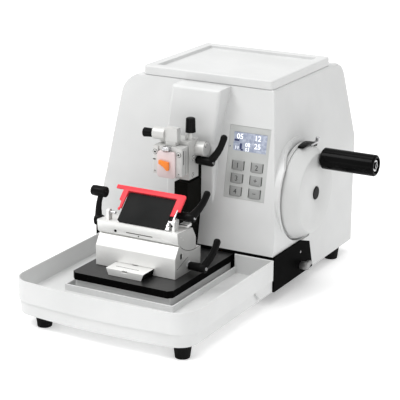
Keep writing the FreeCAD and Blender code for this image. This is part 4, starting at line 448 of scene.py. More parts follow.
def close_shape(shape, name):
    """Turns the faces outwards and hands back the mesh."""
    bmesh.ops.recalc_face_normals(shape, faces=shape.faces)
    mesh = bpy.data.meshes.new(name)
    shape.to_mesh(mesh)
    shape.free()
    return mesh


def add_turned(shape, outline, steps=40, carry=None):
    """Spins an outline of (radius, along) points, in millimetres, round Z, and closes it first."""
    outline = list(outline)
    ring = outline[0][0] > 0 and outline[-1][0] > 0
    if not ring and outline[0][0] > 0:
        outline.insert(0, (0, outline[0][1]))
    if not ring and outline[-1][0] > 0:
        outline.append((0, outline[-1][1]))
    fresh = bmesh.new()
    corners = [fresh.verts.new((radius * MM, 0, along * MM)) for radius, along in outline]
    edges = [fresh.edges.new(pair) for pair in zip(corners, corners[1:])]
    if ring:
        edges.append(fresh.edges.new((corners[-1], corners[0])))
    bmesh.ops.spin(
        fresh,
        geom=corners + edges,
        cent=(0, 0, 0),
        axis=(0, 0, 1),
        angle=math.tau,
        steps=steps,
        use_merge=True,
    )
    bmesh.ops.remove_doubles(fresh, verts=fresh.verts, dist=0.000001)
    if carry:
        bmesh.ops.transform(fresh, matrix=carry, verts=fresh.verts)
    add_to(shape, fresh)


def add_to(shape, fresh):
    """Joins one shape to another."""
    bmesh.ops.recalc_face_normals(fresh, faces=fresh.faces)
    passing = bpy.data.meshes.new("passing")
    fresh.to_mesh(passing)
    fresh.free()
    shape.from_mesh(passing)
    bpy.data.meshes.remove(passing)


def add_slab(shape, low, high, edge, carry=None, segments=3):
    """A box between two corners, in millimetres, with rounded edges."""
    fresh = bmesh.new()
    bmesh.ops.create_cube(fresh, size=1)
    low, high = Vector(low) * MM, Vector(high) * MM
    bmesh.ops.scale(fresh, vec=high - low, verts=fresh.verts)
    bmesh.ops.translate(fresh, vec=(high + low) / 2, verts=fresh.verts)
    bmesh.ops.bevel(
        fresh,
        geom=fresh.edges,
        offset=edge * MM,
        affect="EDGES",
        segments=segments,
        profile=0.5,
        material=-1,
    )
    if carry:
        bmesh.ops.transform(fresh, matrix=carry, verts=fresh.verts)
    add_to(shape, fresh)


def add_plate(shape, outline, low, high, edge, carry=None, corner=0.0):
    """An outline of (x, y) points made into a plate between two heights."""
    fresh = bmesh.new()
    corners = [fresh.verts.new((x * MM, y * MM, low * MM)) for x, y in outline]
    face = fresh.faces.new(corners)
    raised = bmesh.ops.extrude_face_region(fresh, geom=[face])["geom"]
    top = [item for item in raised if isinstance(item, bmesh.types.BMVert)]
    bmesh.ops.translate(fresh, vec=(0, 0, (high - low) * MM), verts=top)
    bmesh.ops.recalc_face_normals(fresh, faces=fresh.faces)
    if corner:
        half_way = (high - low) / 2 * MM
        upright = [e for e in fresh.edges if abs(e.verts[0].co.z - e.verts[1].co.z) > half_way]
        bmesh.ops.bevel(
            fresh, geom=upright, offset=corner * MM, affect="EDGES", segments=5, profile=0.5, material=-1
        )
    rims = [e for e in fresh.edges if e.calc_face_angle(0) > 1.2]
    bmesh.ops.bevel(
        fresh, geom=rims, offset=edge * MM, affect="EDGES", segments=2, profile=0.5, material=-1
    )
    if carry:
        bmesh.ops.transform(fresh, matrix=carry, verts=fresh.verts)
    add_to(shape, fresh)


def add_arm(shape, stops, sides=20):
    """Pushes a ring along (place, radius) stops, in millimetres, and closes both ends."""
    fresh = bmesh.new()
    places = [Vector(place) * MM for place, radius in stops]
    ways = [
        (places[min(i + 1, len(places) - 1)] - places[max(i - 1, 0)]).normalized() for i in range(len(places))
    ]
    start = bmesh.ops.create_circle(fresh, cap_ends=True, segments=sides, radius=stops[0][1] * MM)
    ring = start["verts"]
    turn = Vector((0, 0, 1)).rotation_difference(ways[0]).to_matrix()
    bmesh.ops.rotate(fresh, cent=(0, 0, 0), matrix=turn, verts=ring)
    bmesh.ops.translate(fresh, vec=places[0], verts=ring)
    rim = [e for e in fresh.edges if all(v in ring for v in e.verts)]
    for i in range(1, len(stops)):
        grown = bmesh.ops.extrude_edge_only(fresh, edges=rim)["geom"]
        ring = [item for item in grown if isinstance(item, bmesh.types.BMVert)]
        rim = [item for item in grown if isinstance(item, bmesh.types.BMEdge)]
        rim = [e for e in rim if all(v in ring for v in e.verts)]
        bmesh.ops.translate(fresh, vec=places[i] - places[i - 1], verts=ring)
        turn = ways[i - 1].rotation_difference(ways[i]).to_matrix()
        bmesh.ops.rotate(fresh, cent=places[i], matrix=turn, verts=ring)
        size = stops[i][1] / stops[i - 1][1]
        bmesh.ops.scale(
            fresh, vec=(size, size, size), space=Matrix.Translation(-places[i]), verts=ring
        )
    bmesh.ops.contextual_create(fresh, geom=rim)
    add_to(shape, fresh)


def add_slot_plate(shape, length, width, low, high, carry):
    """A thin plate with round ends, long side along Y: a circle pulled apart and given a thickness."""
    fresh = bmesh.new()
    made = bmesh.ops.create_circle(fresh, cap_ends=True, segments=18, radius=width / 2 * MM)
    bmesh.ops.rotate(fresh, verts=made["verts"], matrix=Matrix.Rotation(math.radians(10), 3, "Z"))
    for corner in made["verts"]:
        corner.co.y += math.copysign((length - width) / 2 * MM, corner.co.y)
        corner.co.z = low * MM
    raised = bmesh.ops.extrude_face_region(fresh, geom=list(fresh.faces), use_keep_orig=True)
    top = [v for v in raised["geom"] if isinstance(v, bmesh.types.BMVert)]
    bmesh.ops.translate(fresh, vec=(0, 0, (high - low) * MM), verts=top)
    bmesh.ops.transform(fresh, matrix=carry, verts=fresh.verts)
    add_to(shape, fresh)


# %% Pieces from those shapes


def place_piece(name, shape, node_name, slot, stands_for=(), material=None, angle=40):
    """Finishes a shape as a smooth piece on its node's body, with its sharp edges kept."""
    mesh = close_shape(shape, name)
    for polygon in mesh.polygons:
        polygon.use_smooth = True
    mesh.set_sharp_from_angle(angle=math.radians(angle))
    return finish_piece(name, mesh, body_with(node_name), slot, stands_for, material)


def turned_piece(name, node_name, slot, outline, steps, carry, **finish):
    shape = bmesh.new()
    add_turned(shape, outline, steps, carry)
    place_piece(name, shape, node_name, slot, **finish)


def slab_piece(name, node_name, slot, *slabs, carry=None, segments=3, **finish):
    """A piece of one or more slabs, each a low corner, a high corner and an edge."""
    shape = bmesh.new()
    for low, high, edge in slabs:
        add_slab(shape, low, high, edge, carry, segments)
    place_piece(name, shape, node_name, slot, **finish)


def plate_piece(name, node_name, slot, outline, low, high, edge, carry, **finish):
    shape = bmesh.new()
    add_plate(shape, outline, low, high, edge, carry)
    place_piece(name, shape, node_name, slot, **finish)


def arm_piece(name, node_name, slot, stops, sides):
    shape = bmesh.new()
    add_arm(shape, stops, sides)
    place_piece(name, shape, node_name, slot)


def inlay(name, node_name, slot, carry, length, width, height, depth=0.4, material=None):
    """A thin strip with round ends, let into a face and a little proud of it."""
    shape = bmesh.new()
    add_slot_plate(shape, length, width, -depth, height, carry)
    place_piece(name, shape, node_name, slot, material=material)


print("Helpers ready")

# %% [markdown]
# The black column
#
# The white head rides on a black column, which is one CAD node with the carriage inside the housing. The
# softened copy of that node gets a second, black finish on its faces in front of the carriage's plate.

# %% Column and carriage
PLATE_FRONT = 25.5


def before_carriage(polygon):
    return polygon.center.y < PLATE_FRONT * MM


carriage = soften("carriage", 0.7, "carriage_column", second=COLUMN_BLACK, chosen=before_carriage)
print("Black faces:", sum(p.material_index for p in carriage.data.polygons))

# %% [markdown]
# The handwheel
#
# The wheel is a heavy casting with a flat face and one cone from the face to the rim. Turning it from an
# outline keeps the cone straight and the edges crisp, and the small radius at each edge takes the light.

# %% Turn the wheel
WHEEL_PLACE = aimed((0.0, 83.0, 144.3), RIGHT)
WHEEL_OUTLINE = (
    (9.6, 117.4),
    (9.9, 118.3),
    (10.6, 118.6),
    (55.6, 118.6),
    (57.2, 118.2),
    (58.0, 117.2),
    (68.2, 100.4),
    (68.9, 99.0),
    (69.0, 97.6),
    (69.0, 96.0),
    (68.2, 95.2),
    (9.6, 95.2),
)
shape = bmesh.new()
add_turned(shape, WHEEL_OUTLINE, 128, WHEEL_PLACE)
place_piece("handwheel_casting", shape, "handwheel", "wheel_white", ("handwheel",), angle=50)
print("Wheel radius:", max(radius for radius, along in WHEEL_OUTLINE), "mm")

# %% [markdown]
# The wheel's lock
#
# The wheel sits in a round bay. At the top, a black arc of painted shade stands for the dark opening over the
# rim, and a small steel hook, the wheel's lock, stands in it. A small dark mark lies on the wheel's cone.

# %% Lock hook and mark
LOCK_OUTLINE = (
    (66.0, 211.6),
    (72.0, 212.4),
    (84.0, 212.6),
    (94.0, 211.4),
    (104.0, 208.6),
    (112.0, 205.0),
    (114.0, 208.0),
    (104.0, 213.4),
    (92.0, 216.4),
    (80.0, 216.8),
    (66.0, 214.6),
)
# Painted shade: a black arc where one looks into the dark opening between the housing and the wheel's back.
plate_piece("wheel_lock_shade_window", "housing_cover", "black_plastic", LOCK_OUTLINE, 95.6, 105.0, 0.5, TO_RIGHT)
slab_piece(
    "wheel_lock_hook",
    "housing_cover",
    "steel",
    ((100.0, 92.0, 209.4), (105.8, 118.0, 212.4), 1.0),
    ((100.4, 115.0, 208.0), (105.6, 119.6, 217.4), 1.4),
)
MARK_PLACE = aimed((106.6, 93.0, 205.9), (0.86, 0.08, 0.5))
MARK_SLAB = ((-3.4, -0.6, -0.2), (3.4, 0.6, 0.2), 0.12)
slab_piece("wheel_mark", "handwheel", "black_plastic", MARK_SLAB, carry=MARK_PLACE)
print("Hook and mark placed")

# %% [markdown]
# The lock knob and the grip's end
#
# The knob on the right cheek clamps the base. It's a turned silver barrel on a black collar, with a flat wing
# milled on one side for the fingers. The folding grip is closed by a dark cap with a thin bright ring.

# %% Lock knob and grip end
LOCK_AXIS = moved((0, 79.6, 32.2), TO_RIGHT)
BARREL_OUTLINE = ((0, 98.6), (5.6, 98.6), (6.0, 99.2), (6.0, 110.9), (5.4, 111.9), (2.4, 112.1), (0, 112.1))
WING_OUTLINE = ((80.0, 28.4), (90.0, 30.6), (94.8, 32.4), (95.2, 35.0), (92.0, 37.2), (80.0, 37.2))
COLLAR_OUTLINE = ((0, 94.4), (7.0, 94.4), (7.6, 95.2), (7.6, 97.8), (7.0, 98.7), (0, 98.7))
shape = bmesh.new()
add_turned(shape, BARREL_OUTLINE, 36, LOCK_AXIS)
add_plate(shape, WING_OUTLINE, 104.0, 111.2, 1.2, TO_RIGHT)
place_piece("lock_knob_barrel", shape, "lock_knob", "lock_chrome", ("lock_knob",), SATIN_KNOB)
turned_piece("lock_knob_collar", "lock_knob", "black_plastic", COLLAR_OUTLINE, 36, LOCK_AXIS)

GRIP_END = aimed((202.3, 99.7, 192.5), RIGHT)
CAP_OUTLINE = ((0, 0.5), (4.6, 0.5), (5.2, 0.2), (5.4, -0.6))
RING_OUTLINE = ((2.9, 0.4), (3.0, 0.7), (3.6, 0.7), (3.8, 0.4))
turned_piece("grip_end_cap", "grip_pin", "black_plastic", CAP_OUTLINE, 36, GRIP_END)
turned_piece("grip_end_ring", "grip_pin", "steel", RING_OUTLINE, 36, GRIP_END)
print("Lock knob and grip end placed")

# %% [markdown]
# Clamp levers
#
# Each clamp lever is a moulded black handle: a cone-shaped hub on a stud, and an arm that leaves the hub's
# far end, bends up and swells to a round tip. A small steel screw closes the hub. The ring that is pushed
# along the path gives the bend that a straight cone can't.

# %% Three clamp levers
HUB_OUTLINE = ((0, 0), (5.0, 0), (5.6, 0.5), (6.4, 19.0), (6.4, 25.4), (5.6, 26.4), (0, 26.4))
SCREW_OUTLINE = ((0, 0.3), (1.1, 0.3), (1.3, 0.9), (2.5, 0.9), (2.8, 0.5), (2.8, -1.0), (0, -1.0))
ARM_START, ARM_BOW, HUB_END = 20.6, 3.4, 26.5
ARM_SIZES = ((0, 5.7), (0.2, 5.5), (0.4, 5.0), (0.6, 4.7), (0.8, 4.7), (0.94, 4.9), (1.0, 5.0))
TIP_SIZES = ((1.9, 4.6), (3.5, 3.4), (4.4, 1.6))


def clamp_lever(node_name, hub_start, reach, run, rise):
    """A lever whose arm runs from its hub by a reach to the right, a run to the back and a rise."""
    x, y, z = hub_start
    root, tip = x + ARM_START, x + HUB_END + reach
    stops = []
    for share, radius in ARM_SIZES:
        bow = ARM_BOW * math.sin(math.pi * share)
        stops.append(((root + (tip - root) * share + bow, y + run * share, z + rise * share), radius))
    end = Vector(stops[-1][0])
    way = (end - Vector(stops[-2][0])).normalized()
    stops += [(end + way * along, radius) for along, radius in TIP_SIZES]
    shape = bmesh.new()
    add_turned(shape, HUB_OUTLINE, carry=aimed(hub_start, RIGHT))
    add_arm(shape, stops)
    place_piece(f"{node_name}_handle", shape, node_name, "black_plastic", (node_name,))
    screw_place = aimed((x + HUB_END, y, z), RIGHT)
    turned_piece(f"{node_name}_screw", node_name, "steel", SCREW_OUTLINE, 24, screw_place)


LEVERS = (
    ("specimen_lever", (-22.9, -14.0, 197.0), 12.8, 6.6, 35.7),
    ("blade_lever", (-2.6, -103.1, 143.3), 11.0, 13.5, 32.2),
    ("base_lever", (17.4, -106.2, 74.7), 6.2, 18.7, 34.3),
)
for lever in LEVERS:
    clamp_lever(*lever)
print("Levers:", len(LEVERS))

# %% [markdown]
# The holder's tilt lever
#
# On the left a larger lever frees the holder's segment. Its hub is a cone with a flange, its arm bows to the
# left, and its grip is a short flat-ended cylinder.

# %% Side lever
SIDE_HUB = ((0, -1.0), (4.6, -1.0), (6.0, 0), (8.4, 1.6), (8.8, 4.0), (7.2, 9.0), (4.8, 16.0), (0, 16.0))
SIDE_GRIP = ((0, -13.5), (6.0, -13.5), (7.2, -12.4), (7.6, -9.0), (7.6, 8.4), (7.0, 9.4), (0, 9.4))
SIDE_ARM = (
    ((-121.4, -118.6, 122.5), 5.6),
    ((-122.0, -117.8, 130.0), 5.0),
    ((-122.6, -116.6, 138.5), 4.3),
    ((-122.2, -115.4, 147.0), 3.9),
    ((-120.6, -114.2, 155.0), 3.9),
    ((-119.4, -113.5, 161.0), 3.9),
)
shape = bmesh.new()
add_turned(shape, SIDE_HUB, carry=aimed((-126.0, -118.7, 122.5), RIGHT))
add_arm(shape, SIDE_ARM)
add_turned(shape, SIDE_GRIP, carry=aimed((-120.6, -113.5, 162.0), RIGHT))
place_piece("side_lever_handle", shape, "side_lever", "black_plastic", ("side_lever",))
print("Side lever placed")

# %% [markdown]
# Fluted knobs
#
# The two small black knobs set the block's angle. Their grooves let a gloved finger turn them, and each has a
# slightly domed top. Every fourth face round a cone is inset and pushed in, which is how a groove is milled.

# %% Pitch and yaw knobs
FLUTES = 10
GROOVE_EDGE, GROOVE_DEPTH = 0.12, 0.7


def fluted_knob(name, node_name, start, way, base_radius, top_radius, length):
    shape = bmesh.new()
    made = bmesh.ops.create_cone(
        shape,
        cap_ends=True,
        segments=FLUTES * 4,
        radius1=base_radius * MM,
        radius2=top_radius * MM,
        depth=length * MM,
    )
    bmesh.ops.translate(shape, vec=(0, 0, length * MM / 2), verts=made["verts"])
    top = [f for f in shape.faces if len(f.verts) > 8 and f.normal.z > 0.9]
    for wall, rise in ((1.2, 0.9), (1.4, 0.4)):
        bmesh.ops.inset_region(shape, faces=top, thickness=wall * MM)
        bmesh.ops.translate(shape, vec=(0, 0, rise * MM), verts=list({v for f in top for v in f.verts}))
    sides = [f for f in shape.faces if len(f.verts) == 4 and abs(f.normal.z) < 0.3]
    sides.sort(key=lambda f: math.atan2(f.calc_center_median().y, f.calc_center_median().x))
    bmesh.ops.inset_individual(
        shape, faces=sides[::4], thickness=GROOVE_EDGE * MM, depth=-GROOVE_DEPTH * MM
    )
    bmesh.ops.transform(shape, matrix=aimed(start, way), verts=shape.verts)
    place_piece(name, shape, node_name, "black_plastic", (node_name,))


fluted_knob("pitch_knob_cap", "pitch_knob", (-29.0, -22.0, 238.6), UP, 7.3, 6.6, 19.8)
fluted_knob("yaw_knob_cap", "yaw_knob", (-77.0, -41.0, 235.4), (-1, 0, -0.05), 6.0, 6.7, 15.6)

STEM_OUTLINE = ((0, 0), (4.6, 0), (4.6, 3.2), (3.3, 3.6), (3.3, 13.6), (0, 13.6))
PIN_OUTLINE = ((0, 0), (1.6, 0), (1.6, 12.0), (0, 12.0))
YAW_OUTLINE = ((0, 0), (4.0, 0), (4.0, 30.0), (0, 30.0))
shape = bmesh.new()
add_turned(shape, STEM_OUTLINE, 24, aimed((-29.0, -22.0, 226.0), UP))
add_turned(shape, PIN_OUTLINE, 16, aimed((-34.6, -24.5, 226.4), UP))
place_piece("pitch_stem", shape, "pitch_knob", "head_silver")
turned_piece("yaw_stem", "yaw_knob", "head_silver", YAW_OUTLINE, 24, aimed((-49.0, -41.0, 236.5), LEFT))
print("Knobs placed")

# %% [markdown]
# The cassette and its wax
#
# The specimen lies in orange wax on a pale pink plastic cassette, a standard tray with rounded corners. The
# wax was trimmed by hand, so its outline is crooked, and its edges are soft. A steel jaw holds the
# cassette's top.

# %% Cassette and wax
CASSETTE_OUTLINE = ((-60.8, 178.6), (-32.2, 178.6), (-32.2, 216.6), (-60.8, 216.6))
WAX_OUTLINE = ((-56.2, 204.4), (-40.4, 202.6), (-40.6, 190.6), (-43.4, 190.2), (-49.0, 195.4), (-56.4, 198.8))
shape = bmesh.new()
add_plate(shape, CASSETTE_OUTLINE, 56.0, 61.0, 0.8, TO_FRONT, corner=4.0)
place_piece("cassette_tray", shape, "cassette", "cassette_white", ("cassette",))
shape = bmesh.new()
add_plate(shape, WAX_OUTLINE, 61.0, 65.6, 1.1, TO_FRONT, corner=0.9)
place_piece("wax_lump", shape, "wax_block", "wax_orange", ("wax_block",))
slab_piece(
    "jaw_tip",
    "clamp_jaw",
    "steel",
    ((-52.4, -62.8, 217.4), (-41.4, -51.5, 223.4), 1.4),
    ((-50.4, -63.6, 218.6), (-43.4, -62.0, 221.8), 0.6),
    stands_for=("clamp_jaw",),
)
print("Cassette placed")

# %% [markdown]
# Screws
#
# Screws hold the clamp, its frame and the holder's ends. A socket screw is a short cylinder with a broken
# edge and a hollow, so one outline turned on the lathe makes all of them in different sizes. The hollow's
# floor is painted dark as shade, and the larger ones sit in a dark ring of painted shadow, their seat.

# %% Socket screws on the head and the holder
LARGEST_WITHOUT_SEAT = 2.5


def socket_screw(name, node_name, place, way, radius, slot, height):
    """A screw head, a hollow in it with its floor painted dark as shade and, round a large one, a seat
    painted dark as shadow.
    """
    hollow, carry = radius / 2, aimed(place, way)
    head_outline = (
        (hollow, -0.6),
        (hollow, height - 0.2),
        (hollow + 0.2, height),
        (radius - 0.5, height),
        (radius, height - 0.5),
        (radius, -0.6),
    )
    # Painted shade: the socket's floor and the seat round a large head are dark for the shade in those
    # hollows.
    socket_outline = ((0, 0.1), (hollow, 0.1), (hollow, -0.6))
    seat_outline = ((radius, 0.02), (radius + 0.1, 0.1), (radius + 0.6, 0.1), (radius + 0.7, -0.2))
    turned_piece(name, node_name, slot, head_outline, 28, carry)
    turned_piece(f"{name}_socket", node_name, "black_plastic", socket_outline, 6, carry)
    if radius > LARGEST_WITHOUT_SEAT:
        turned_piece(f"{name}_seat", node_name, "black_plastic", seat_outline, 28, carry)


SCREWS = (
    ("clamp_screw_left", "cassette_clamp", (-65.4, -58.0, 213.8), FRONT, 3.2, "head_silver", 1.0),
    ("clamp_screw_right", "cassette_clamp", (-27.7, -58.0, 213.7), FRONT, 3.2, "head_silver", 1.0),
    ("clamp_screw_low_left", "cassette_clamp", (-65.6, -58.0, 186.4), FRONT, 1.8, "head_silver", 0.6),
    ("clamp_screw_low_right", "cassette_clamp", (-27.6, -58.0, 186.0), FRONT, 1.8, "head_silver", 0.6),
    ("frame_screw_upper", "tilt_frame", (-23.3, -24.2, 202.1), RIGHT, 3.0, "head_silver", 1.0),
    ("frame_screw_lower", "tilt_frame", (-23.3, -24.7, 177.6), RIGHT, 2.8, "head_silver", 1.0),
    ("disc_screw", "head_collars", (-8.3, -14.6, 221.2), RIGHT, 3.4, "head_silver", 1.6),
    ("hinge_screw_upper", "blade_holder", (4.6, -132.5, 136.6), FRONT, 1.5, "black_plastic", 0.6),
    ("end_screw_upper", "blade_holder", (16.0, -127.4, 121.1), RIGHT, 0.9, "holder_white", 0.3),
    ("end_screw_lower", "blade_holder", (16.0, -121.5, 115.7), RIGHT, 0.9, "holder_white", 0.3),
    ("base_end_screw", "knife_base", (17.0, -136.6, 79.6), RIGHT, 1.3, "steel", 0.4),
    ("cheek_screw", "base_chassis", (100.0, 76.7, 53.5), RIGHT, 1.8, "steel", 0.4),
)
for screw in SCREWS:
    socket_screw(*screw)
print("Screws:", len(SCREWS))

# %% [markdown]
# Slots and seams in the head
#
# A round-ended slot on the clamp's right side lets its slide be set. It's drawn as a dark inlay with a bright
# lip, up to 0.6 mm proud, since a real cut would need the solid itself changed. The inlay's dark is painted
# shade for the slot's depth.

# %% Inlays
CLAMP_SLOT = moved((-23.3, -52.4, 208.8), TO_RIGHT)
CLAMP_SEAM = moved((-23.3, -45.2, 200.0), TO_RIGHT)
CLAMP_CATCH = moved((-66.6, -58.0, 203.0), TO_FRONT @ LYING)
inlay("clamp_slot_lip", "cassette_clamp", "head_silver", CLAMP_SLOT, 23.0, 4.0, 0.5)
# Painted shade: the dark strip stands for the shade inside the slot.
inlay("clamp_slot", "cassette_clamp", "shield_black", CLAMP_SLOT, 20.4, 1.8, 0.6)
inlay("clamp_seam", "cassette_clamp", "shield_black", CLAMP_SEAM, 34.0, 0.9, 0.12)
inlay("clamp_catch", "cassette_clamp", "shield_black", CLAMP_CATCH, 4.2, 1.7, 0.3)
print("Inlays placed")

# %% [markdown]
# The pressure plate
#
# A black plate lies on the slope and presses the blade. Its two lower corners are cut back, and a chrome clip
# shows at its lower right. A thin dark pad covers the slope under the plate and a little beside it. The
# slope's own directions are along it, up and back, and off it, up and forward.

# %% Plate, pad and clip
ON_SLOPE = leaning((0, -100.0, 160.0), (0, 32.0, 31.0), (0, -31.0, 32.0))
PLATE_OUTLINE = (
    (-81.4, 1.6),
    (-81.4, -42.2),
    (-80.4, -44.2),
    (-78.4, -45.2),
    (-9.4, -45.2),
    (-7.2, -44.2),
    (-6.0, -42.0),
    (-6.0, 1.6),
)
shape = bmesh.new()
add_plate(shape, PLATE_OUTLINE, 0.2, 2.6, 0.5, ON_SLOPE)
place_piece("pressure_plate_black", shape, "pressure_plate", "holder_white", ("pressure_plate",), PLATE_BLACK)
PAD_SLAB = ((-83.6, -42.0, -0.4), (-4.6, 3.0, 0.14), 0.1)
slab_piece("slope_pad", "blade_holder", "shield_black", PAD_SLAB, carry=ON_SLOPE, segments=1)
slab_piece(
    "plate_clip",
    "pressure_plate",
    "lock_chrome",
    ((-5.4, -44.0, 0.6), (-1.6, -30.0, 4.2), 0.9),
    ((-5.0, -46.0, 1.4), (1.4, -40.0, 4.6), 1.2),
    carry=ON_SLOPE,
)
print("Plate finished")

# %% [markdown]
# The guard
#
# The red guard lies over the blade's edge and keeps fingers off it. It's one flat frame, open at its foot,
# with a tab on the left that a finger lifts. Its left leg ends in a red foot. On the right, a steel strap and
# a black hinge block run down the slope.

# %% Guard frame, foot and strap
GUARD_OUTLINE = (
    (-102.5, 9.4),
    (4.4, 9.4),
    (6.8, 8.6),
    (7.4, 6.4),
    (7.4, -16.0),
    (1.8, -16.6),
    (1.6, -25.0),
    (-4.4, -25.0),
    (-4.4, 2.2),
    (-82.0, 2.2),
    (-82.0, -25.6),
    (-85.2, -25.6),
    (-86.4, -14.0),
    (-90.2, -13.4),
    (-90.2, 3.8),
    (-102.5, 3.8),
)
plate_piece(
    "guard_frame",
    "finger_guard",
    "guard_red",
    GUARD_OUTLINE,
    3.0,
    6.2,
    0.5,
    ON_SLOPE,
    stands_for=("finger_guard",),
)
for name, slot, slab in (
    ("guard_foot", "guard_red", ((-87.0, -28.6, 3.4), (-84.0, -24.4, 5.6), 0.7)),
    ("guard_strap", "steel", ((2.0, -37.0, 2.8), (4.4, -14.0, 6.4), 0.6)),
    ("guard_hinge", "black_plastic", ((-3.4, -33.0, 3.0), (2.4, -24.4, 5.4), 0.7)),
):
    slab_piece(name, "finger_guard", slot, slab, carry=ON_SLOPE)
print("Guard finished")

# %% [markdown]
# The segment's front
#
# The segment's front has a raised band that runs down into a tab at each end. Between the tabs there are a
# set screw, a long thin slot and a small hole. The slot and the hole are dark pieces, painted shade for their
# depth. The front leans a little, so the pieces are placed on it.

# %% Band, slot and holes
FRONT_LEAN = 0.096
ON_BAND = leaning((0, -136.9, 129.5), (0, -FRONT_LEAN, 1), (0, -1, -FRONT_LEAN))
BAND_OUTLINE = (
    (-111.6, -0.6),
    (15.6, -0.6),
    (15.6, -15.0),
    (-9.4, -15.0),
    (-9.4, -10.6),
    (-85.0, -10.6),
    (-85.0, -15.0),
    (-111.6, -15.0),
)
SLOT_PLACE = ON_BAND @ moved((-45.0, -12.4, 0), LYING)
plate_piece("segment_band", "blade_holder", "holder_white", BAND_OUTLINE, -0.6, 1.3, 0.5, ON_BAND)
# Painted shade: the dark strip stands for the shade inside the slot.
inlay("segment_slot", "blade_holder", "black_plastic", SLOT_PLACE, 42.0, 1.1, 0.12)
# The hole's dark dish is painted shade inside the hole; the set screw is black.
for name, x, up, radius in (("segment_set_screw", -83.2, -12.9, 1.9), ("segment_hole", -46.2, -15.2, 0.9)):
    outline = ((0, 0.1), (radius - 0.3, 0.1), (radius, 0.5), (radius + 0.2, -0.3))
    carry = ON_BAND @ Matrix.Translation((x * MM, up * MM, 0))
    turned_piece(name, "blade_holder", "black_plastic", outline, 20, carry)
print("Band finished")

# %% [markdown]
# The holder's right end
#
# The right end's faces carry painted shade, a darker, half-metallic grey for faces turned from the light. A
# block with a seam sits on top, and a dark arc of painted shadow follows the segment's lower edge, where the
# gap to the base lies in shade, with its centre on the tilt axis. The base has a curved dark line, a hole
# drawn as a dark inlay of painted shade, and a bright boss round the stud.

# %% Block, lines and boss
BLOCK_SLAB = ((3.0, -108.0, 129.0), (15.6, -97.0, 133.6), 1.0)
SEAM_SLAB = ((3.4, -109.2, 132.0), (15.4, -108.0, 133.2), 0.3)
BOSS_OUTLINE = ((3.6, 0), (3.6, 0.8), (4.4, 1.2), (6.2, 1.2), (6.8, 0.8), (6.9, 0))
ARC_CENTRE, ARC_RADIUS = (-86.5, 164.1), 70.5
ARC_START, ARC_TURN = 231.5, 49.0
slab_piece("end_block", "blade_holder", "holder_white", BLOCK_SLAB)
slab_piece("end_seam", "blade_holder", "black_plastic", SEAM_SLAB)
# Painted shade: the hole is a dark inlay standing for the shade inside it.
inlay("side_hole", "knife_base", "black_plastic", moved((17.0, -128.8, 94.4), TO_RIGHT), 8.4, 5.4, 0.12)
# A thin dark curved line drawn on the base's right end.
base_line = []
for i in range(9):
    share = i / 8
    place = (17.0, -139.6 + 29.6 * share, 78.4 + 9.5 * share * (1.25 - 0.25 * share))
    base_line.append((place, 0.35))
arm_piece("base_curved_dark_line", "knife_base", "shield_black", base_line, 8)
# Painted shadow: a thin dark arc where the gap between the segment and the base lies in shade.
edge_line = []
for i in range(15):
    turn = math.radians(ARC_START + ARC_TURN * i / 14)
    place = (
        16.05,
        ARC_CENTRE[0] + ARC_RADIUS * math.cos(turn),
        ARC_CENTRE[1] + ARC_RADIUS * math.sin(turn),
    )
    edge_line.append((place, 0.32))
arm_piece("segment_gap_shadow", "blade_holder", "shield_black", edge_line, 8)
turned_piece("base_boss", "knife_base", "steel", BOSS_OUTLINE, 32, aimed((17.0, -106.2, 74.7), RIGHT))
print("Right end finished")

# %% [markdown]
# The dovetail
#
# The rail that the holder slides on shows at the front as a short light block with slanted sides. A softened
# copy stands for it, black on its right end. A cap with a thin dark cross line, painted shade for a slot,
# lies on the block's top.

# %% Rail front
RAIL_END = -25.0


def rail_end_face(polygon):
    return polygon.normal.x > 0.3 and polygon.center.x > RAIL_END * MM


soften("dovetail_rail", 0.5, "rail_body", "holder_white", COLUMN_BLACK, rail_end_face)
CAP_SLAB = ((-75.6, -170.6, 74.4), (-17.4, -146.0, 75.6), 0.4)
# Painted shade: a thin dark line for the slot across the cap.
LINE_SLAB = ((-67.0, -160.8, 75.2), (-31.0, -159.8, 75.68), 0.05)
slab_piece("rail_cap", "dovetail_rail", "holder_white", CAP_SLAB)
slab_piece("rail_line", "dovetail_rail", "shield_black", LINE_SLAB, segments=1)
print("Rail finished")

# %% [markdown]
# The panel
#
# The panel leans with the housing's front. Its own directions are across, up the slope and out. Its keys are
# soft grey rubber with rounded corners, and its display is lit. The marks are plain numbers and signs: text
# from Blender's own typeface, turned into a mesh before it's placed.

# %% Directions and lettering
PANEL_LEAN = 0.19
PANEL_Y, PANEL_Z = 4.95, 142.7
PANEL_UP = Vector((0, PANEL_LEAN, 1)).normalized()
PANEL_OUT = Vector((0, -1, PANEL_LEAN)).normalized()
MARK_THICKNESS = 0.08


def on_panel(x, z, out):
    """A place on the panel's face: x and z are the frame's, out is the distance off the face."""
    y = PANEL_Y + (z - PANEL_Z) * PANEL_LEAN
    return leaning(Vector((x, y, z)) + PANEL_OUT * out, PANEL_UP, PANEL_OUT)


def mark(name, text, size, carry, node_name, slot, material):
    """A number or a sign as a thin mesh, centred on its place."""
    line = bpy.data.curves.new(name, "FONT")
    line.body = text
    line.size = size * MM
    line.extrude = MARK_THICKNESS * MM / 2
    line.resolution_u = 3
    line.align_x = "CENTER"
    line.align_y = "CENTER"
    drawn = bpy.data.objects.new(name, line)
    bpy.context.scene.collection.objects.link(drawn)
    mesh = bpy.data.meshes.new_from_object(drawn)
    bpy.data.objects.remove(drawn)
    bpy.data.curves.remove(line)
    mesh.name = name
    mesh.transform(carry)
    finish_piece(name, mesh, body_with(node_name), slot, (), material)


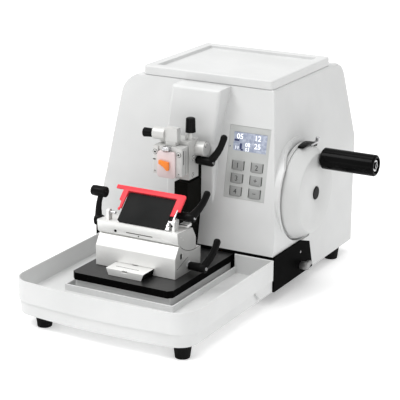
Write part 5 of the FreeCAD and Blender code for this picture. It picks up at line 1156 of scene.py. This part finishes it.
# %% Keys
KEY_MARKS = ("1", "2", "3", "+", "4", "−")
KEY_X = (28.2, 58.1)
KEY_Z = (189.3, 171.1, 152.9)
MARK_INK, ink_shader = new_finish("key_ink", (0.006, 0.006, 0.007), 0.6)
vary_roughness(MARK_INK, ink_shader, noise(MARK_INK, 900), 0.5, 0.7)
for i, text in enumerate(KEY_MARKS):
    x, z = KEY_X[i % 2], KEY_Z[i // 2]
    node_name = f"button_{i + 1}"
    shape = bmesh.new()
    add_slab(shape, (-8.6, -7.0, -2.0), (8.6, 7.0, 1.5), 1.3, on_panel(x, z, 0), segments=4)
    add_slab(shape, (-7.0, -5.4, 0.4), (7.0, 5.4, 1.9), 0.5, on_panel(x, z, 0))
    place_piece(f"key_{i + 1}", shape, node_name, "button_grey", (node_name,))
    mark(f"key_{i + 1}_mark", text, 10.5, on_panel(x, z, 1.95), node_name, "button_grey", MARK_INK)
print("Keys:", len(KEY_MARKS))

# %% [markdown]
# The panel's lower lip
#
# On the real instrument the panel lies in a shallow recess of the cover. The recess's lower wall faces up and
# catches the light, so a bright band runs under the panel. A narrow strip in a brighter paint, a painted
# highlight, stands for that lit wall.

# %% Lip
# Painted highlight: a lighter copy of the housing paint for the lit lower wall of the recess.
LIP_HIGHLIGHT_PAINT = grained_finish("lip_painted_highlight", (0.8, 0.805, 0.8), (0.86, 0.865, 0.86), (0.46, 0.54), 1400, 0.00004)
slab_piece(
    "panel_lip",
    "housing_cover",
    "housing_white",
    ((-31.4, -2.3, -0.8), (31.4, 2.3, 0.35), 0.3),
    carry=on_panel(42.8, 140.6, 0),
    segments=2,
    material=LIP_HIGHLIGHT_PAINT,
)
print("Lip placed")

# %% [markdown]
# The display
#
# The screen glows, pale grey-blue with white figures and a few dark cells. The glow is a little even emission
# on the shader. Noise in the screen's colour keeps it from looking like a flat patch.

# %% Display and its figures
SCREEN_GLOW, FIGURE_GLOW = 0.14, 0.7
GLOW, glow_shader = new_finish("display_glow", (0.36, 0.4, 0.48), 0.3)
vary_colour(GLOW, glow_shader, noise(GLOW, 260), (0.2, 0.23, 0.33), (0.42, 0.45, 0.53))
glow_shader.inputs["Emission Color"].default_value = (0.6, 0.66, 0.78, 1)
glow_shader.inputs["Emission Strength"].default_value = SCREEN_GLOW
FIGURES, figure_shader = new_finish("display_figures", (0.95, 0.96, 1.0), 0.4)
vary_roughness(FIGURES, figure_shader, noise(FIGURES, 500), 0.35, 0.5)
figure_shader.inputs["Emission Color"].default_value = (0.95, 0.97, 1.0, 1)
figure_shader.inputs["Emission Strength"].default_value = FIGURE_GLOW
CELLS, cell_shader = new_finish("display_cells", (0.03, 0.04, 0.12), 0.4)
vary_roughness(CELLS, cell_shader, noise(CELLS, 500), 0.35, 0.5)
SCREEN_SLAB = ((-26.0, -13.2, -1.0), (26.0, 13.2, 0.25), 0.2)
SCREEN_PLACE = on_panel(43.4, 222.8, 0)
slab_piece(
    "display_screen",
    "lcd_screen",
    "screen",
    SCREEN_SLAB,
    carry=SCREEN_PLACE,
    stands_for=("lcd_screen",),
    material=GLOW,
)
for name, text, size, x, z in (
    ("display_top_left", "05", 10.5, 27.0, 229.6),
    ("display_top_right", "12", 10.5, 55.0, 229.6),
    ("display_middle", "08", 8.0, 40.0, 219.0),
    ("display_right", "25", 10.5, 55.5, 218.4),
    ("display_low_middle", "03", 7.0, 40.0, 212.4),
    ("display_left", "11", 7.0, 23.5, 213.6),
):
    mark(name, text, size, on_panel(x, z, 0.3), "lcd_screen", "screen", FIGURES)
CELL_PLACES = ((22.5, 224.4, 8.0, 3.0), (29.5, 216.4, 3.4, 8.0), (31.4, 211.6, 4.0, 2.6))
for i, (x, z, wide, high) in enumerate(CELL_PLACES):
    cell = ((-wide / 2, -high / 2, -0.3), (wide / 2, high / 2, 0.32), 0.1)
    carry = on_panel(x, z, 0)
    slab_piece(
        f"display_cell_{i + 1}", "lcd_screen", "screen", cell, carry=carry, segments=1, material=CELLS
    )
LAMP_OUTLINE = ((0, 0.35), (0.8, 0.35), (1.1, 0.1), (1.2, -0.3))
LAMP_PLACE = on_panel(12.6, 214.6, 0)
turned_piece("panel_lamp", "control_panel", "panel_silver", LAMP_OUTLINE, 16, LAMP_PLACE, material=CELLS)
print("Display lit")

# %% [markdown]
# The groove in the plinth's side
#
# A shallow slanted groove runs down the plinth's right side to its edge. It's seen only as a soft, slightly
# darker stripe, the shade inside it, so a thin strip in a greyer paint shows it as painted shade.

# %% Side groove
# Painted shade: a greyer copy of the housing paint stands for the shade in the groove.
GROOVE_SHADE_PAINT = grained_finish(
    "groove_painted_shade", (0.5, 0.505, 0.5), (0.55, 0.555, 0.55), (0.5, 0.6), 1400, 0.00004
)
NOTCH_ANGLE = 43.3
NOTCH_PLACE = moved((100.0, -60.7, 29.2), TO_RIGHT @ Matrix.Rotation(math.radians(NOTCH_ANGLE), 4, "Z"))
inlay(
    "plinth_groove_shade",
    "base_plinth",
    "housing_white",
    NOTCH_PLACE,
    20.0,
    2.6,
    0.12,
    depth=0.5,
    material=GROOVE_SHADE_PAINT,
)
print("Groove placed")

# %% [markdown]
# The rear inlet
#
# The mains inlet has three flat pins, one above and two below.

# %% Inlet pins
PIN_PLACES = ((-8.0, 109.0), (-15.0, 103.0), (-1.0, 103.0))
PIN_SLABS = [((x - 0.9, 245.0, z - 2.0), (x + 0.9, 257.6, z + 2.0), 0.4) for x, z in PIN_PLACES]
slab_piece("inlet_pins", "power_inlet", "steel", *PIN_SLABS)
print("Rear finished")

# %% [markdown]
# The studio
#
# The photograph is a cut-out on white, so the floor and the backdrop are white, and the floor glows a
# little. The main light stands high in front of the instrument, on its left side, and a weaker one hangs
# above it. A faint one from the right lifts the wheel's side. They're all large, so the shadows are soft.

# %% Floor and lights
FLOOR_GLOW = 0.3
WORLD_STRENGTH = 0.68
floor_mesh = bpy.data.meshes.new("studio_floor")
sweep = bmesh.new()
bmesh.ops.create_grid(sweep, x_segments=1, y_segments=1, size=6)
sweep.to_mesh(floor_mesh)
sweep.free()
floor = bpy.data.objects.new("studio_floor", floor_mesh)
bpy.context.scene.collection.objects.link(floor)
floor_paint, floor_shader = new_finish("studio_floor", (0.96, 0.96, 0.96), 0.7)
floor_shader.inputs["Emission Color"].default_value = (1, 1, 1, 1)
floor_shader.inputs["Emission Strength"].default_value = FLOOR_GLOW
floor_mesh.materials.append(floor_paint)

world = bpy.data.worlds.new("studio")
world.use_nodes = True
world.node_tree.nodes["Background"].inputs["Color"].default_value = (1, 1, 1, 1)
world.node_tree.nodes["Background"].inputs["Strength"].default_value = WORLD_STRENGTH
bpy.context.scene.world = world
bpy.context.scene.view_settings.view_transform = "Standard"


def soft_light(name, place, target, size, power):
    lamp = bpy.data.lights.new(name, "AREA")
    lamp.shape = "DISK"
    lamp.size = size
    lamp.energy = power
    holder = bpy.data.objects.new(name, lamp)
    bpy.context.scene.collection.objects.link(holder)
    holder.location = place
    holder.rotation_euler = (Vector(target) - Vector(place)).to_track_quat("-Z", "Y").to_euler()


MIDDLE = (0, 0, 0.15)
soft_light("key_light", (-1.1, -1.3, 2.4), MIDDLE, 1.4, 36)
soft_light("fill_light", (2.0, -1.2, 1.2), MIDDLE, 1.6, 2)
soft_light("top_light", (0.1, 0.3, 2.3), MIDDLE, 1.8, 17)
print("Lights set")
